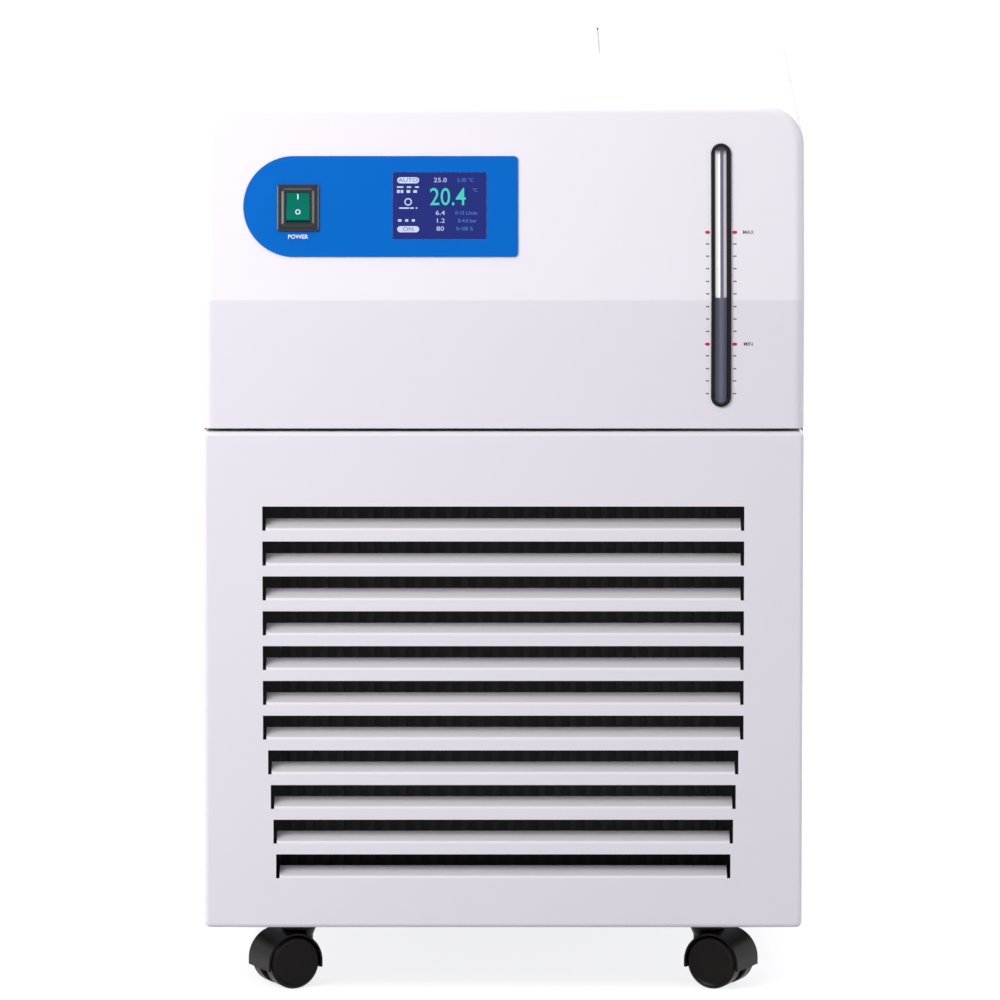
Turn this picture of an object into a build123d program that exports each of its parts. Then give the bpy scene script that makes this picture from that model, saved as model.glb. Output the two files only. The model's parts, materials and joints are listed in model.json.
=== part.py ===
from build123d import *
from math import asin, atan, cos, radians, sin, tan
import os

# Casing, in millimetres. The front faces -Y, +X is the right-hand side, and Z is 0 at the floor.
hood_width = 460.0
body_depth = 560.0
total_height = 688.0
casing_bottom = 54.3
casing_top = 441.5
hood_gap = 2.7
hood_wall = 2.0
sheet = 1.2
seat_gap = 0.3
return_depth = 20.0
edge_bend = 3.5
casing_corner = 4.5
panel_seam = 1.0

# Hood: an upright lower band, then a face that leans back to the top.
hood_rise = 144.9
lean_setback = 38.6
crease_bend = 5.0
hood_shoulder = 30.0
hood_edge = 7.5

# Water and power connections stand this far out of the back.
port_reach = 32.0
trim_proud = 1.5

casing_width = hood_width
hood_bottom = casing_top + hood_gap
crease_height = total_height - hood_rise
front = (trim_proud - body_depth - port_reach) / 2
rear = front + body_depth
lean = atan(lean_setback / (total_height - crease_height))
lean_face = Plane(
    origin=(0, front, crease_height), x_dir=(1, 0, 0), z_dir=(0, -cos(lean), sin(lean))
)

# Louvred front panel: tabs cut on three sides and folded inwards about their lower line.
louvre_rows = 11
louvre_head = 57.9
louvre_foot = 39.0
louvre_side = 45.4
louvre_height = 18.9
louvre_fold = 74.0
louvre_slit = 2.6
louvre_bend = 1.0
narrow_rows = 4
narrow_first = 7.7
narrow_step = 3.9
louvre_top = casing_top - louvre_head
louvre_width = casing_width - 2 * louvre_side
louvre_span = louvre_top - louvre_height - casing_bottom - louvre_foot
louvre_pitch = louvre_span / (louvre_rows - 1)

# Fill hatch at the back right corner of the hood.
hatch_left = hood_width / 2 - 154.0
hatch_from_front = body_depth - 200.0
hatch_drop = 51.0
hatch_seam = 1.2
ledge_width = 12.0
ledge_thick = 1.8
hinge_out = 4.0
hinge_below_top = 7.0
knuckle_radius = 3.5
hinge_pin_radius = 1.5
hinge_width = 90.0
hinge_leaf = 22.0
running = 0.05
knuckle_gap = 0.4

# Control plate, on the leaning face. Heights on that face are counted up from the crease.
plate_left = 31.4 - hood_width / 2
plate_right = plate_left + 209.8
plate_low = 33.4
plate_high = 110.9
plate_thick = 1.2
plate_round = 3.0
window_x = plate_right - 59.8
window_height = 72.6
window_width = 71.3
window_tall = 51.1
window_lap = 2.5
switch_x = plate_left + 41.8
switch_height = 70.9
bezel_width = 31.7
bezel_tall = 35.9
bezel_proud = 2.4
bezel_bevel = 0.8
bezel_round = 1.5
rim_width = 25.0
rim_tall = 30.0
rim_proud = 2.6
rim_bevel = 1.7
rim_round = 3.0
switch_can_width = 27.0
switch_can_tall = 31.0
switch_can_deep = 24.0
switch_tabs = (6.3, 0.8, 8.0)
tab_spread = (12.0, 14.0)
rocker_width = 17.6
rocker_tall = 21.4
rocker_side_gap = 0.3
rocker_end_gap = 0.9
rocker_well = 12.0
rocker_pivot_below = 4.2
rocker_crown = 5.0
rocker_valley = 3.6
rocker_skirt = 0.5
rocker_heel = 5.0
rocker_tilt = 8.0
rocker_stub = 1.2
rocker_stub_radius = 1.5

# Level gauge: a clear tube behind a slot that crosses the crease.
gauge_x = hood_width / 2 - 63.6
slot_width = 13.7
slot_low = hood_bottom + 17.5
slot_high = 120.0
trim_width = 2.0
trim_lip = 0.8
gauge_tube_radius = 4.5
gauge_tube_depth = 7.4
gauge_bend = 60.0
channel_width = 20.0
channel_depth = 13.0
channel_wall = 1.0
gauge_tail = 12.0

# Chassis.
pan_bottom = casing_bottom + 6.0
pan_thick = 1.5
pan_flange = 18.0
post_leg = 25.0
post_thick = 2.0
deck_thick = 1.5
deck_flange = 24.0
deck_setback = 24.0

# Casters.
wheel_radius = 20.5
wheel_width = 13.0
wheel_chamfer = 1.5
wheel_dish = 0.8
web_width = 9.0
wheel_gap = 0.5
axle_radius = 3.0
fender_gap = 1.0
fender_wall = 1.6
caster_trail = 11.5
caster_x = casing_width / 2 - 71.5
caster_inset = 51.0
boss_radius = 11.0
crown_radius = 13.6
boss_top = pan_bottom - 5.4
stem_radius = 4.0
stem_depth = 20.0
collar_radius = 9.0
nut_flats = 13.0
nut_height = 6.5
caster_turns = {"front_left": 27.0, "front_right": 153.0, "rear_left": -62.0, "rear_right": 236.0}

# Where a block's corner lies: on its foot, or on its foot and front.
upwards = (Align.CENTER, Align.CENTER, Align.MIN)
backwards = (Align.CENTER, Align.MIN, Align.MIN)


def upright(y):
    """A plane that faces the front, at this Y."""
    return Plane.XZ.offset(-y)


def behind(depth):
    """Y at this distance behind the front face."""
    return front + depth


def face_point(inset, z):
    """(Y, Z) on the front's outline moved inwards by inset, at height z."""
    crease = crease_height - inset * tan(lean / 2)
    if z <= crease:
        return (behind(inset), z)
    return (behind((inset + (z - crease_height) * sin(lean)) / cos(lean)), z)


def face_crease(inset):
    """(Y, Z) of the crease on the outline moved inwards by inset."""
    return (behind(inset), crease_height - inset * tan(lean / 2))


def up_the_lean(distance, inset=0.0):
    """(Y, Z) at this distance above the crease, moved inwards by inset."""
    y = distance * sin(lean) + inset * cos(lean)
    return (behind(y), crease_height + distance * cos(lean) - inset * sin(lean))


def front_band(outer, inner, low, high, half_width, middle=0.0):
    """A bent strip that follows the front from height low to distance high up the lean."""
    with BuildPart() as band:
        with BuildSketch(Plane.YZ.offset(middle)):
            with BuildLine():
                Polyline(
                    (behind(outer), low),
                    face_crease(outer),
                    up_the_lean(high, outer),
                    up_the_lean(high, inner),
                    face_crease(inner),
                    (behind(inner), low),
                    close=True,
                )
            make_face()
        extrude(amount=half_width, both=True)
    return band.part


def hood_form(inset, past=0.0):
    """The hood's outline as a solid, moved inwards by inset; past lengthens its open sides."""
    top = total_height - inset
    low = hood_bottom - past
    with BuildPart() as form:
        with BuildSketch(Plane.YZ):
            with BuildLine():
                Polyline(
                    (behind(inset), low),
                    face_crease(inset),
                    face_point(inset, top),
                    (rear + past, top),
                    (rear + past, low),
                    close=True,
                )
            make_face()
        extrude(amount=hood_width / 2 - inset, both=True)
        shoulders = form.edges().filter_by(Axis.Y).group_by(Axis.Z)[-1]
        fillet(shoulders, hood_shoulder - inset)
        crease = form.edges().filter_by(Axis.X).group_by(Axis.Z)[1]
        fillet(crease, crease_bend - inset)
        limit = face_point(inset, top)[0] + 0.01
        outline = [
            edge
            for edge in form.edges()
            if edge.bounding_box().max.Y < limit
            and (edge.bounding_box().size.X < hood_shoulder or edge.center().Z > top - 1)
        ]
        fillet(outline, hood_edge - inset)
    return form.part


def slot_outline(margin):
    """The gauge slot seen from the front, made larger all round by margin, as a cutting bar."""
    low = slot_low - margin
    high = up_the_lean(slot_high)[1] + margin
    with BuildPart() as bar:
        with BuildSketch(upright(front - 10)):
            with Locations((gauge_x, (low + high) / 2)):
                SlotOverall(high - low, slot_width + 2 * margin, rotation=90)
        extrude(amount=-90)
    return bar.part


def hatch_block(shrink):
    """The block that the hatch takes out of the hood, smaller by shrink at its seams."""
    left = hatch_left + shrink
    near = behind(hatch_from_front) + shrink
    low = total_height - hatch_drop + shrink
    size = (hood_width / 2 + 5 - left, rear + 5 - near, total_height + 5 - low)
    with BuildPart() as block:
        with Locations((left, near, low)):
            Box(*size, align=Align.MIN)
    return block.part


def louvre_widths():
    """Window width of each row from the top; the lowest rows grow narrower."""
    wide = [louvre_width] * (louvre_rows - narrow_rows)
    low = louvre_width - narrow_first
    return wide + [low - narrow_step * row for row in range(narrow_rows)]


with BuildPart() as front_grille:
    with BuildSketch(upright(front)):
        with Locations((0, (casing_bottom + casing_top) / 2)):
            RectangleRounded(casing_width, casing_top - casing_bottom, casing_corner)
    extrude(amount=-return_depth)
    fillet(front_grille.faces().sort_by(Axis.Y)[0].edges(), edge_bend)
    offset(amount=-sheet, openings=front_grille.faces().sort_by(Axis.Y)[-1])
    for row, width in enumerate(louvre_widths()):
        window_bottom = louvre_top - row * louvre_pitch - louvre_height
        with BuildSketch(upright(front)):
            with Locations((0, window_bottom + louvre_height / 2)):
                Rectangle(width, louvre_height)
        extrude(amount=-2 * sheet, mode=Mode.SUBTRACT)
        # The tab bends about its lower line and rises a little as it goes in.
        bend_y = front + sheet + louvre_bend
        reach = louvre_height - radians(louvre_fold) * (louvre_bend + sheet / 2)
        with BuildSketch(Plane.YZ):
            with BuildLine():
                outer = CenterArc((bend_y, window_bottom), louvre_bend + sheet, 180, -louvre_fold)
                inner = CenterArc((bend_y, window_bottom), louvre_bend, 180, -louvre_fold)
                along = Vector(sin(radians(louvre_fold)), cos(radians(louvre_fold))) * reach
                tip = outer @ 1 + along
                inner_tip = inner @ 1 + along
                Polyline(outer @ 1, tip, inner_tip, inner @ 1)
                Line(outer @ 0, inner @ 0)
            make_face()
        extrude(amount=width / 2 - louvre_slit, both=True)
front_grille.part.label = "front_grille"

window_shape = (window_width - 2 * window_lap, window_tall - 2 * window_lap)
can_opening = (switch_can_width + 2 * seat_gap, switch_can_tall + 2 * seat_gap)
hood_skin = hood_form(0) - hood_form(hood_wall, 3)
hatch_opening = hatch_block(0)
gauge_slot = slot_outline(0)
ledge_left = hatch_left - ledge_width / 2
ledge_near = behind(hatch_from_front) - ledge_width / 2
ledge_top = total_height - hood_wall - seat_gap

with BuildPart() as hood:
    add(hood_skin)
    add(gauge_slot, mode=Mode.SUBTRACT)
    add(hatch_opening, mode=Mode.SUBTRACT)
    with BuildSketch(lean_face):
        with Locations((window_x, window_height)):
            Rectangle(*window_shape)
        with Locations((switch_x, switch_height)):
            Rectangle(*can_opening)
    extrude(amount=-2 * hood_wall, mode=Mode.SUBTRACT)
    # A stepped ledge under the front and left seams carries the shut hatch.
    ledge_end = hood_width / 2 - hood_shoulder
    ledge_back = rear - return_depth
    with Locations((ledge_left, ledge_near, ledge_top - ledge_thick)):
        Box(ledge_end - ledge_left, ledge_width, ledge_thick, align=Align.MIN)
        Box(ledge_width, ledge_back - ledge_near, ledge_thick, align=Align.MIN)
    with Locations((ledge_left, ledge_near, ledge_top)):
        Box(ledge_end - ledge_left, ledge_width / 2, seat_gap, align=Align.MIN)
        Box(ledge_width / 2, ledge_back - ledge_near, seat_gap, align=Align.MIN)
hood.part.label = "hood"

# The hinge axis lies behind the back edge and a little below the top.
hinge_y = rear + hinge_out
hinge_z = total_height - hinge_below_top
hinge_x = (hatch_left + hood_width / 2 - hood_shoulder) / 2
knuckle = hinge_width / 3
hatch_skin = hood_skin & hatch_block(hatch_seam)

with BuildPart() as fill_hatch:
    add(hatch_skin)
    # Middle knuckle on a tab that drops from the back edge.
    with BuildSketch(Plane.YZ.offset(hinge_x)):
        with Locations((hinge_y, hinge_z)):
            Circle(knuckle_radius)
        with Locations((rear - sheet, total_height - hood_wall)):
            Rectangle(hinge_out + sheet, hood_wall, align=Align.MIN)
        with Locations((hinge_y, (hinge_z + total_height) / 2)):
            Rectangle(sheet, total_height - hinge_z, align=(Align.MAX, Align.CENTER))
        with Locations((hinge_y, hinge_z)):
            Circle(hinge_pin_radius + running, mode=Mode.SUBTRACT)
    extrude(amount=knuckle / 2 - knuckle_gap, both=True)
fill_hatch.part.label = "fill_hatch"

screw_radius = 2.0
screw_head = 3.8
screw_head_thick = 1.8
screw_play = 0.1
screw_x = casing_width / 2 - 18.0
screw_low = casing_bottom + 45.0
screw_high = casing_top - 21.0
rear_screws = [(x, z) for x in (-screw_x, screw_x) for z in (screw_low, screw_high)]
plate_low_z = hood_bottom + 18.0
plate_high_z = total_height - 66.0
plate_screws = [(x, z) for x in (-screw_x, screw_x) for z in (plate_low_z, plate_high_z)]
plate_inset = hood_wall + 0.4
back_plate_out = rear - panel_seam
back_plate_bottom = casing_top + panel_seam
deck_end = rear - return_depth - panel_seam - seat_gap

with BuildPart() as hood_rear_plate:
    half = hood_width / 2 - plate_inset
    top = total_height - plate_inset
    with BuildSketch(upright(back_plate_out)):
        with BuildLine():
            shoulder = hood_shoulder - plate_inset
            Polyline(
                (-half, top - shoulder),
                (-half, back_plate_bottom),
                (half, back_plate_bottom),
                (half, top - shoulder),
            )
            RadiusArc((half, top - shoulder), (half - shoulder, top), -shoulder)
            Line((half - shoulder, top), (shoulder - half, top))
            RadiusArc((shoulder - half, top), (-half, top - shoulder), -shoulder)
        make_face()
    extrude(amount=sheet)
    with BuildSketch(upright(back_plate_out)):
        with Locations(*plate_screws):
            Circle(screw_radius + screw_play)
    extrude(amount=sheet, mode=Mode.SUBTRACT)
    with Locations((0, back_plate_out, back_plate_bottom)):
        Box(
            2 * half,
            back_plate_out - deck_end - seat_gap,
            sheet,
            align=(Align.CENTER, Align.MAX, Align.MIN),
        )
hood_rear_plate.part.label = "hood_rear_plate"

with BuildPart() as hatch_hinge:
    # Fixed leaf on the rear plate, with a knuckle at each end.
    leaf_low = hinge_z - hinge_leaf
    with BuildSketch(Plane.YZ.offset(hinge_x)):
        with Locations((hinge_y, hinge_z)):
            Circle(knuckle_radius)
        with Locations((back_plate_out, leaf_low)):
            Rectangle(sheet, hinge_z - knuckle_radius - leaf_low, align=Align.MIN)
        with Locations((back_plate_out, hinge_z - knuckle_radius)):
            Rectangle(hinge_y - back_plate_out, sheet, align=Align.MIN)
        with Locations((hinge_y, hinge_z)):
            Circle(hinge_pin_radius + running, mode=Mode.SUBTRACT)
    extrude(amount=hinge_width / 2, both=True)
    with Locations((hinge_x, hinge_y, hinge_z)):
        Box(
            knuckle,
            2 * (hinge_out + knuckle_radius),
            2 * knuckle_radius + 0.2,
            mode=Mode.SUBTRACT,
        )
hatch_hinge.part.label = "hatch_hinge"

with BuildPart() as hinge_pin:
    with BuildSketch(Plane.YZ.offset(hinge_x)):
        with Locations((hinge_y, hinge_z)):
            Circle(hinge_pin_radius)
    extrude(amount=hinge_width / 2 + 1, both=True)
hinge_pin.part.label = "hinge_pin"

# Chassis: a folded pan on the casters, four angle posts with a top ring, and a deck.
pan_half = casing_width / 2 - sheet - seat_gap
pan_front = front + sheet + seat_gap
pan_back = rear - sheet - seat_gap
pan_top = pan_bottom + pan_thick
deck_top = casing_top - sheet - seat_gap
frame_top = deck_top - deck_thick
deck_half = hood_width / 2 - hood_wall - seat_gap
frame_half = pan_half - pan_thick
frame_front = pan_front + pan_thick
frame_back = pan_back - pan_thick
frame_corner = casing_corner + 1 - pan_thick
middle_y = (front + rear) / 2
caster_places = {
    "front_left": (-caster_x, behind(caster_inset)),
    "front_right": (caster_x, behind(caster_inset)),
    "rear_left": (-caster_x, rear - caster_inset),
    "rear_right": (caster_x, rear - caster_inset),
}

with BuildPart() as base_pan:
    with BuildSketch(Plane.XY.offset(pan_bottom)):
        with Locations((0, middle_y)):
            RectangleRounded(2 * pan_half, pan_back - pan_front, casing_corner + 1)
    extrude(amount=pan_flange)
    offset(amount=-pan_thick, openings=base_pan.faces().sort_by(Axis.Z)[-1])
    with BuildSketch(Plane.XY.offset(pan_bottom)):
        with Locations(*caster_places.values()):
            Circle(stem_radius + 0.2)
    extrude(amount=pan_thick, mode=Mode.SUBTRACT)
base_pan.part.label = "base_pan"

with BuildPart() as chassis_frame:
    wide, long = 2 * frame_half, frame_back - frame_front
    with BuildSketch(Plane.XY.offset(pan_top)):
        with Locations((0, middle_y)):
            RectangleRounded(wide, long, frame_corner)
            Rectangle(wide - 2 * post_thick, long - 2 * post_thick, mode=Mode.SUBTRACT)
            Rectangle(wide - 2 * post_leg, long, mode=Mode.SUBTRACT)
            Rectangle(wide, long - 2 * post_leg, mode=Mode.SUBTRACT)
    extrude(amount=frame_top - pan_top)
    with BuildSketch(Plane.XY.offset(frame_top)):
        with Locations((0, middle_y)):
            RectangleRounded(wide, long, frame_corner)
            Rectangle(wide - 2 * post_leg, long - 2 * post_leg, mode=Mode.SUBTRACT)
    extrude(amount=-post_thick)
chassis_frame.part.label = "chassis_frame"

# Tank and pipework places, as (X, distance behind the front).
hose_radius = 7.0
copper_radius = 4.0
suction_radius = 6.0
hole_play = 1.0
tank_right = hood_width / 2 - 15.0
tank_left = tank_right - 185.0
tank_near = 60.0
tank_far = body_depth - 30.0
tank_top = total_height - 90.0
tank_wall = 1.5
tank_corner = 12.0
feed_place = (tank_left + 30.0, 190.0)
return_place = (tank_left + 30.0, tank_far - 30.0)
drain_place = (tank_left + 70.0, tank_far - 15.0)

with BuildPart() as mid_deck:
    with BuildSketch(Plane.XY.offset(frame_top)):
        with Locations((-deck_half, behind(deck_setback))):
            Rectangle(2 * deck_half, deck_end - behind(deck_setback), align=Align.MIN)
    extrude(amount=deck_thick + deck_flange)
    offset(
        amount=-deck_thick,
        openings=[mid_deck.faces().sort_by(Axis.Z)[-1], mid_deck.faces().sort_by(Axis.Y)[0]],
    )
    with BuildSketch(Plane.XY.offset(frame_top)):
        for x, depth in (feed_place, return_place, drain_place):
            with Locations((x, behind(depth))):
                Circle(hose_radius + hole_play)
    extrude(amount=deck_thick, mode=Mode.SUBTRACT)
mid_deck.part.label = "mid_deck"


def side_panel(side):
    """A flat side sheet with a hem folded in under the pan; side is -1 or 1."""
    length = rear - front - 2 * (return_depth + panel_seam)
    low = front + return_depth + panel_seam
    outer = side * casing_width / 2
    with BuildPart() as panel:
        with BuildSketch(Plane.XZ.offset(-low)):
            with Locations((outer, casing_bottom)):
                edge = Align.MAX if side > 0 else Align.MIN
                Rectangle(sheet, casing_top - casing_bottom, align=(edge, Align.MIN))
                Rectangle(pan_flange, sheet, align=(edge, Align.MIN))
        extrude(amount=-length)
    return panel.part


left_side_panel = side_panel(-1)
left_side_panel.label = "left_side_panel"

right_side_panel = side_panel(1)
right_side_panel.label = "right_side_panel"

# Back of the machine: exhaust slots in front of the fan, two water ports, drain and power.
fan_z = 232.0
slot_columns = 3
slot_rows = 13
slot_length = 84.0
slot_tall = 6.0
slot_step = (98.0, 15.0)
port_radius = 10.4
port_z = 395.0
supply_x = 60.0 - casing_width / 2
return_x = supply_x + 60.0
drain_x = drain_place[0]
drain_z = 95.0
valve_radius = 11.0
inlet_x = casing_width / 2 - 80.0
inlet_z = port_z
inlet_body = (27.0, 20.0)
inlet_flange = (50.0, 25.0)

with BuildPart() as rear_panel:
    with BuildSketch(upright(rear)):
        with Locations((0, (casing_bottom + casing_top) / 2)):
            RectangleRounded(casing_width, casing_top - casing_bottom, casing_corner)
    extrude(amount=return_depth)
    fillet(rear_panel.faces().sort_by(Axis.Y)[-1].edges(), edge_bend)
    offset(amount=-sheet, openings=rear_panel.faces().sort_by(Axis.Y)[0])
    with BuildSketch(upright(rear)):
        with Locations((0, fan_z)):
            with GridLocations(slot_step[0], slot_step[1], slot_columns, slot_rows):
                Rectangle(slot_length, slot_tall)
        with Locations((supply_x, port_z), (return_x, port_z)):
            Circle(port_radius + seat_gap)
        with Locations((drain_x, drain_z)):
            Circle(valve_radius + seat_gap)
        with Locations((inlet_x, inlet_z)):
            Rectangle(inlet_body[0] + 2 * seat_gap, inlet_body[1] + 2 * seat_gap)
        with Locations(*rear_screws):
            Circle(screw_radius + screw_play)
    extrude(amount=2 * sheet, mode=Mode.SUBTRACT)
rear_panel.part.label = "rear_panel"

plate_shank = 3.0

with BuildPart() as panel_screws:
    for y, places, shank in (
        (rear, rear_screws, rear - frame_back),
        (back_plate_out, plate_screws, plate_shank),
    ):
        with BuildSketch(upright(y)):
            with Locations(*places):
                Circle(screw_head)
        extrude(amount=-screw_head_thick)
        with BuildSketch(upright(y)):
            with Locations(*places):
                Circle(screw_radius)
        extrude(amount=shank)
panel_screws.part.label = "panel_screws"

# Control plate, switch and display on the leaning face.
plate_tall = plate_high - plate_low
plate_middle = (plate_low + plate_high) / 2
plate_face = lean_face.offset(plate_thick)

with BuildPart() as control_plate:
    with BuildSketch(lean_face):
        with Locations((plate_left + plate_tall / 2, plate_middle)):
            Circle(plate_tall / 2)
        with Locations((plate_right, plate_middle)):
            Rectangle(
                plate_right - plate_left - plate_tall / 2,
                plate_tall,
                align=(Align.MAX, Align.CENTER),
            )
        fillet(vertices().group_by(Axis.X)[-1], plate_round)
        with Locations((window_x, window_height)):
            Rectangle(window_width + 2 * seat_gap, window_tall + 2 * seat_gap, mode=Mode.SUBTRACT)
        with Locations((switch_x, switch_height)):
            Rectangle(*can_opening, mode=Mode.SUBTRACT)
    extrude(amount=plate_thick)
control_plate.part.label = "control_plate"

with BuildPart() as display_window:
    with BuildSketch(lean_face):
        with Locations((window_x, window_height)):
            Rectangle(window_width, window_tall)
    extrude(amount=plate_thick)
display_window.part.label = "display_window"

module_thick = 8.0
module_border = 7.0
module_round = 2.0
board_gap = 8.0
board_thick = 1.6
board_past = (14.0, 8.0)
spacer_radius = 3.0
relay = (22.0, 30.0)
relay_place = (-30.0, 15.0)
supply_block = (26.0, 18.0)
supply_place = (10.0, -12.0)
can_radius = 6.0
can_places = ((38.0, 14.0), (38.0, -14.0))
block_tall = 12.0

module_size = (window_width + 2 * module_border, window_tall + 2 * module_border)

with BuildPart() as display_module:
    with BuildSketch(lean_face.offset(-hood_wall - seat_gap)):
        with Locations((window_x, window_height)):
            RectangleRounded(*module_size, module_round)
    extrude(amount=-module_thick)
display_module.part.label = "display_module"

with BuildPart() as control_board:
    module_back = -hood_wall - seat_gap - module_thick
    with BuildSketch(lean_face.offset(module_back)):
        with Locations((window_x, window_height)):
            with GridLocations(window_width, window_tall, 2, 2):
                Circle(spacer_radius)
    extrude(amount=-board_gap)
    with BuildSketch(lean_face.offset(module_back - board_gap)):
        with Locations((window_x, window_height)):
            Rectangle(module_size[0] + board_past[0], module_size[1] + board_past[1])
    extrude(amount=-board_thick)
    with BuildSketch(lean_face.offset(module_back - board_gap - board_thick)):
        with Locations((window_x, window_height)):
            with Locations(relay_place):
                Rectangle(*relay)
            with Locations(supply_place):
                Rectangle(*supply_block)
            with Locations(*can_places):
                Circle(can_radius)
    extrude(amount=-block_tall)
control_board.part.label = "control_board"

bezel_face = plate_face.offset(bezel_proud)
rim_face = bezel_face.offset(rim_proud)
outwards = Axis(lean_face.origin, lean_face.z_dir)
pivot_drop = plate_thick + bezel_proud + rim_proud - rocker_pivot_below
pivot = lean_face.from_local_coords(Vector(switch_x, switch_height, pivot_drop))
pivot_plane = Plane(origin=pivot, x_dir=lean_face.y_dir, z_dir=(1, 0, 0))

with BuildPart() as switch_body:
    with BuildSketch(plate_face):
        with Locations((switch_x, switch_height)):
            RectangleRounded(bezel_width, bezel_tall, bezel_round)
    extrude(amount=bezel_proud)
    chamfer(switch_body.faces().sort_by(outwards)[-1].edges(), bezel_bevel)
    # A raised, bevelled rim stands round the rocker.
    with BuildSketch(bezel_face):
        with Locations((switch_x, switch_height)):
            RectangleRounded(rim_width, rim_tall, rim_round)
    extrude(amount=rim_proud)
    chamfer(switch_body.faces().sort_by(outwards)[-1].edges(), rim_bevel)
    with BuildSketch(plate_face):
        with Locations((switch_x, switch_height)):
            Rectangle(switch_can_width, switch_can_tall)
    extrude(amount=-switch_can_deep)
    with BuildSketch(plate_face.offset(-switch_can_deep)):
        with Locations((switch_x, switch_height)):
            with GridLocations(*tab_spread, 2, 2):
                Rectangle(switch_tabs[0], switch_tabs[1])
    extrude(amount=-switch_tabs[2])
    with BuildSketch(rim_face):
        with Locations((switch_x, switch_height)):
            Rectangle(rocker_width + 2 * rocker_side_gap, rocker_tall + 2 * rocker_end_gap)
    extrude(amount=-rocker_well - rim_proud, mode=Mode.SUBTRACT)
    with BuildSketch(pivot_plane):
        Circle(rocker_stub_radius + running)
    extrude(amount=rocker_width / 2 + rocker_stub + seat_gap, both=True, mode=Mode.SUBTRACT)
switch_body.part.label = "switch_body"

press = radians(rocker_tilt)
rocker_plane = Plane(
    origin=pivot,
    x_dir=lean_face.y_dir * cos(press) - lean_face.z_dir * sin(press),
    z_dir=(1, 0, 0),
)

with BuildPart() as switch_rocker:
    with BuildSketch(rocker_plane):
        with BuildLine():
            end = rocker_tall / 2
            ThreePointArc((-end, rocker_crown), (0, rocker_valley), (end, rocker_crown))
            Polyline(
                (end, rocker_crown),
                (end, -rocker_skirt),
                (end / 2, -rocker_heel),
                (-end / 2, -rocker_heel),
                (-end, -rocker_skirt),
                (-end, rocker_crown),
            )
        make_face()
    extrude(amount=rocker_width / 2, both=True)
    with BuildSketch(pivot_plane):
        Circle(rocker_stub_radius)
    extrude(amount=rocker_width / 2 + rocker_stub, both=True)
switch_rocker.part.label = "switch_rocker"

# Level gauge.
trim_past = 10.0
channel_past = 4.0
tube_bend = 10.0
vent_bend = 18.0
vent_dip = 20.0
gauge_low = 7.7
spigot_wall = 1.0
trim_low = slot_low - trim_past
trim_high = slot_high + trim_past
slot_trim = front_band(
    -trim_proud, hood_wall + seat_gap, trim_low, trim_high, slot_width, gauge_x
)
slot_core = slot_outline(-seat_gap)
slot_inside = slot_outline(seat_gap - trim_width)
slot_around = slot_outline(trim_lip)
trim_front = front_band(-trim_proud, 0, trim_low, trim_high, slot_width, gauge_x)

with BuildPart() as gauge_trim:
    add(slot_trim & slot_core)
    add(trim_front & slot_around)
    add(slot_inside, mode=Mode.SUBTRACT)
gauge_trim.part.label = "gauge_trim"

channel_low = slot_low - channel_past
channel_high = slot_high + channel_past
channel_outer = front_band(
    hood_wall + 2 * seat_gap,
    hood_wall + 2 * seat_gap + channel_depth,
    channel_low,
    channel_high,
    channel_width / 2,
    gauge_x,
)
channel_inner = front_band(
    hood_wall + seat_gap,
    hood_wall + 2 * seat_gap + channel_depth - channel_wall,
    channel_low - channel_wall,
    channel_high + channel_wall,
    channel_width / 2 - channel_wall,
    gauge_x,
)

with BuildPart() as gauge_channel:
    add(channel_outer)
    add(channel_inner, mode=Mode.SUBTRACT)
gauge_channel.part.label = "gauge_channel"

lid_thick = 2.0
lid_top = tank_top + lid_thick
vent_depth = 100.0
gauge_low_z = deck_top + gauge_low
gauge_top_y, gauge_top_z = up_the_lean(slot_high + gauge_tail, gauge_tube_depth)
spigot = 6.0

with BuildPart() as gauge_tube:
    with BuildLine() as tube_line:
        FilletPolyline(
            (gauge_x, behind(tank_near - spigot), gauge_low_z),
            (gauge_x, behind(gauge_tube_depth), gauge_low_z),
            (gauge_x, *face_crease(gauge_tube_depth)),
            (gauge_x, gauge_top_y, gauge_top_z),
            (gauge_x, behind(vent_depth), gauge_top_z - vent_dip),
            (gauge_x, behind(vent_depth), lid_top + spigot),
            radius=[tube_bend, gauge_bend, tube_bend, vent_bend],
        )
    with BuildSketch(Plane(tube_line.line @ 0, z_dir=tube_line.line % 0)):
        Circle(gauge_tube_radius)
    sweep(path=tube_line.line)
gauge_tube.part.label = "gauge_tube"


def pipe(points, bend, radius):
    """A round bar along straight runs joined by arcs; points are (X, distance behind, Z)."""
    with BuildPart() as run:
        with BuildLine() as route:
            FilletPolyline(*[(x, behind(depth), z) for x, depth, z in points], radius=bend)
        with BuildSketch(Plane(route.line @ 0, z_dir=route.line % 0)):
            Circle(radius)
        sweep(path=route.line)
    return run.part


# Water side: tank with a fill neck under the hatch, pump, plate heat exchanger, hoses and ports.
neck_x = tank_right - 70.0
neck_depth = tank_far - 75.0
neck_radius = 30.0
neck_wall = 2.0
neck_height = 42.0
cap_radius = 35.0
cap_thick = 12.0
cap_bevel = 2.0
cap_grip = 8.0
cap_plug = 14.0

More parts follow.
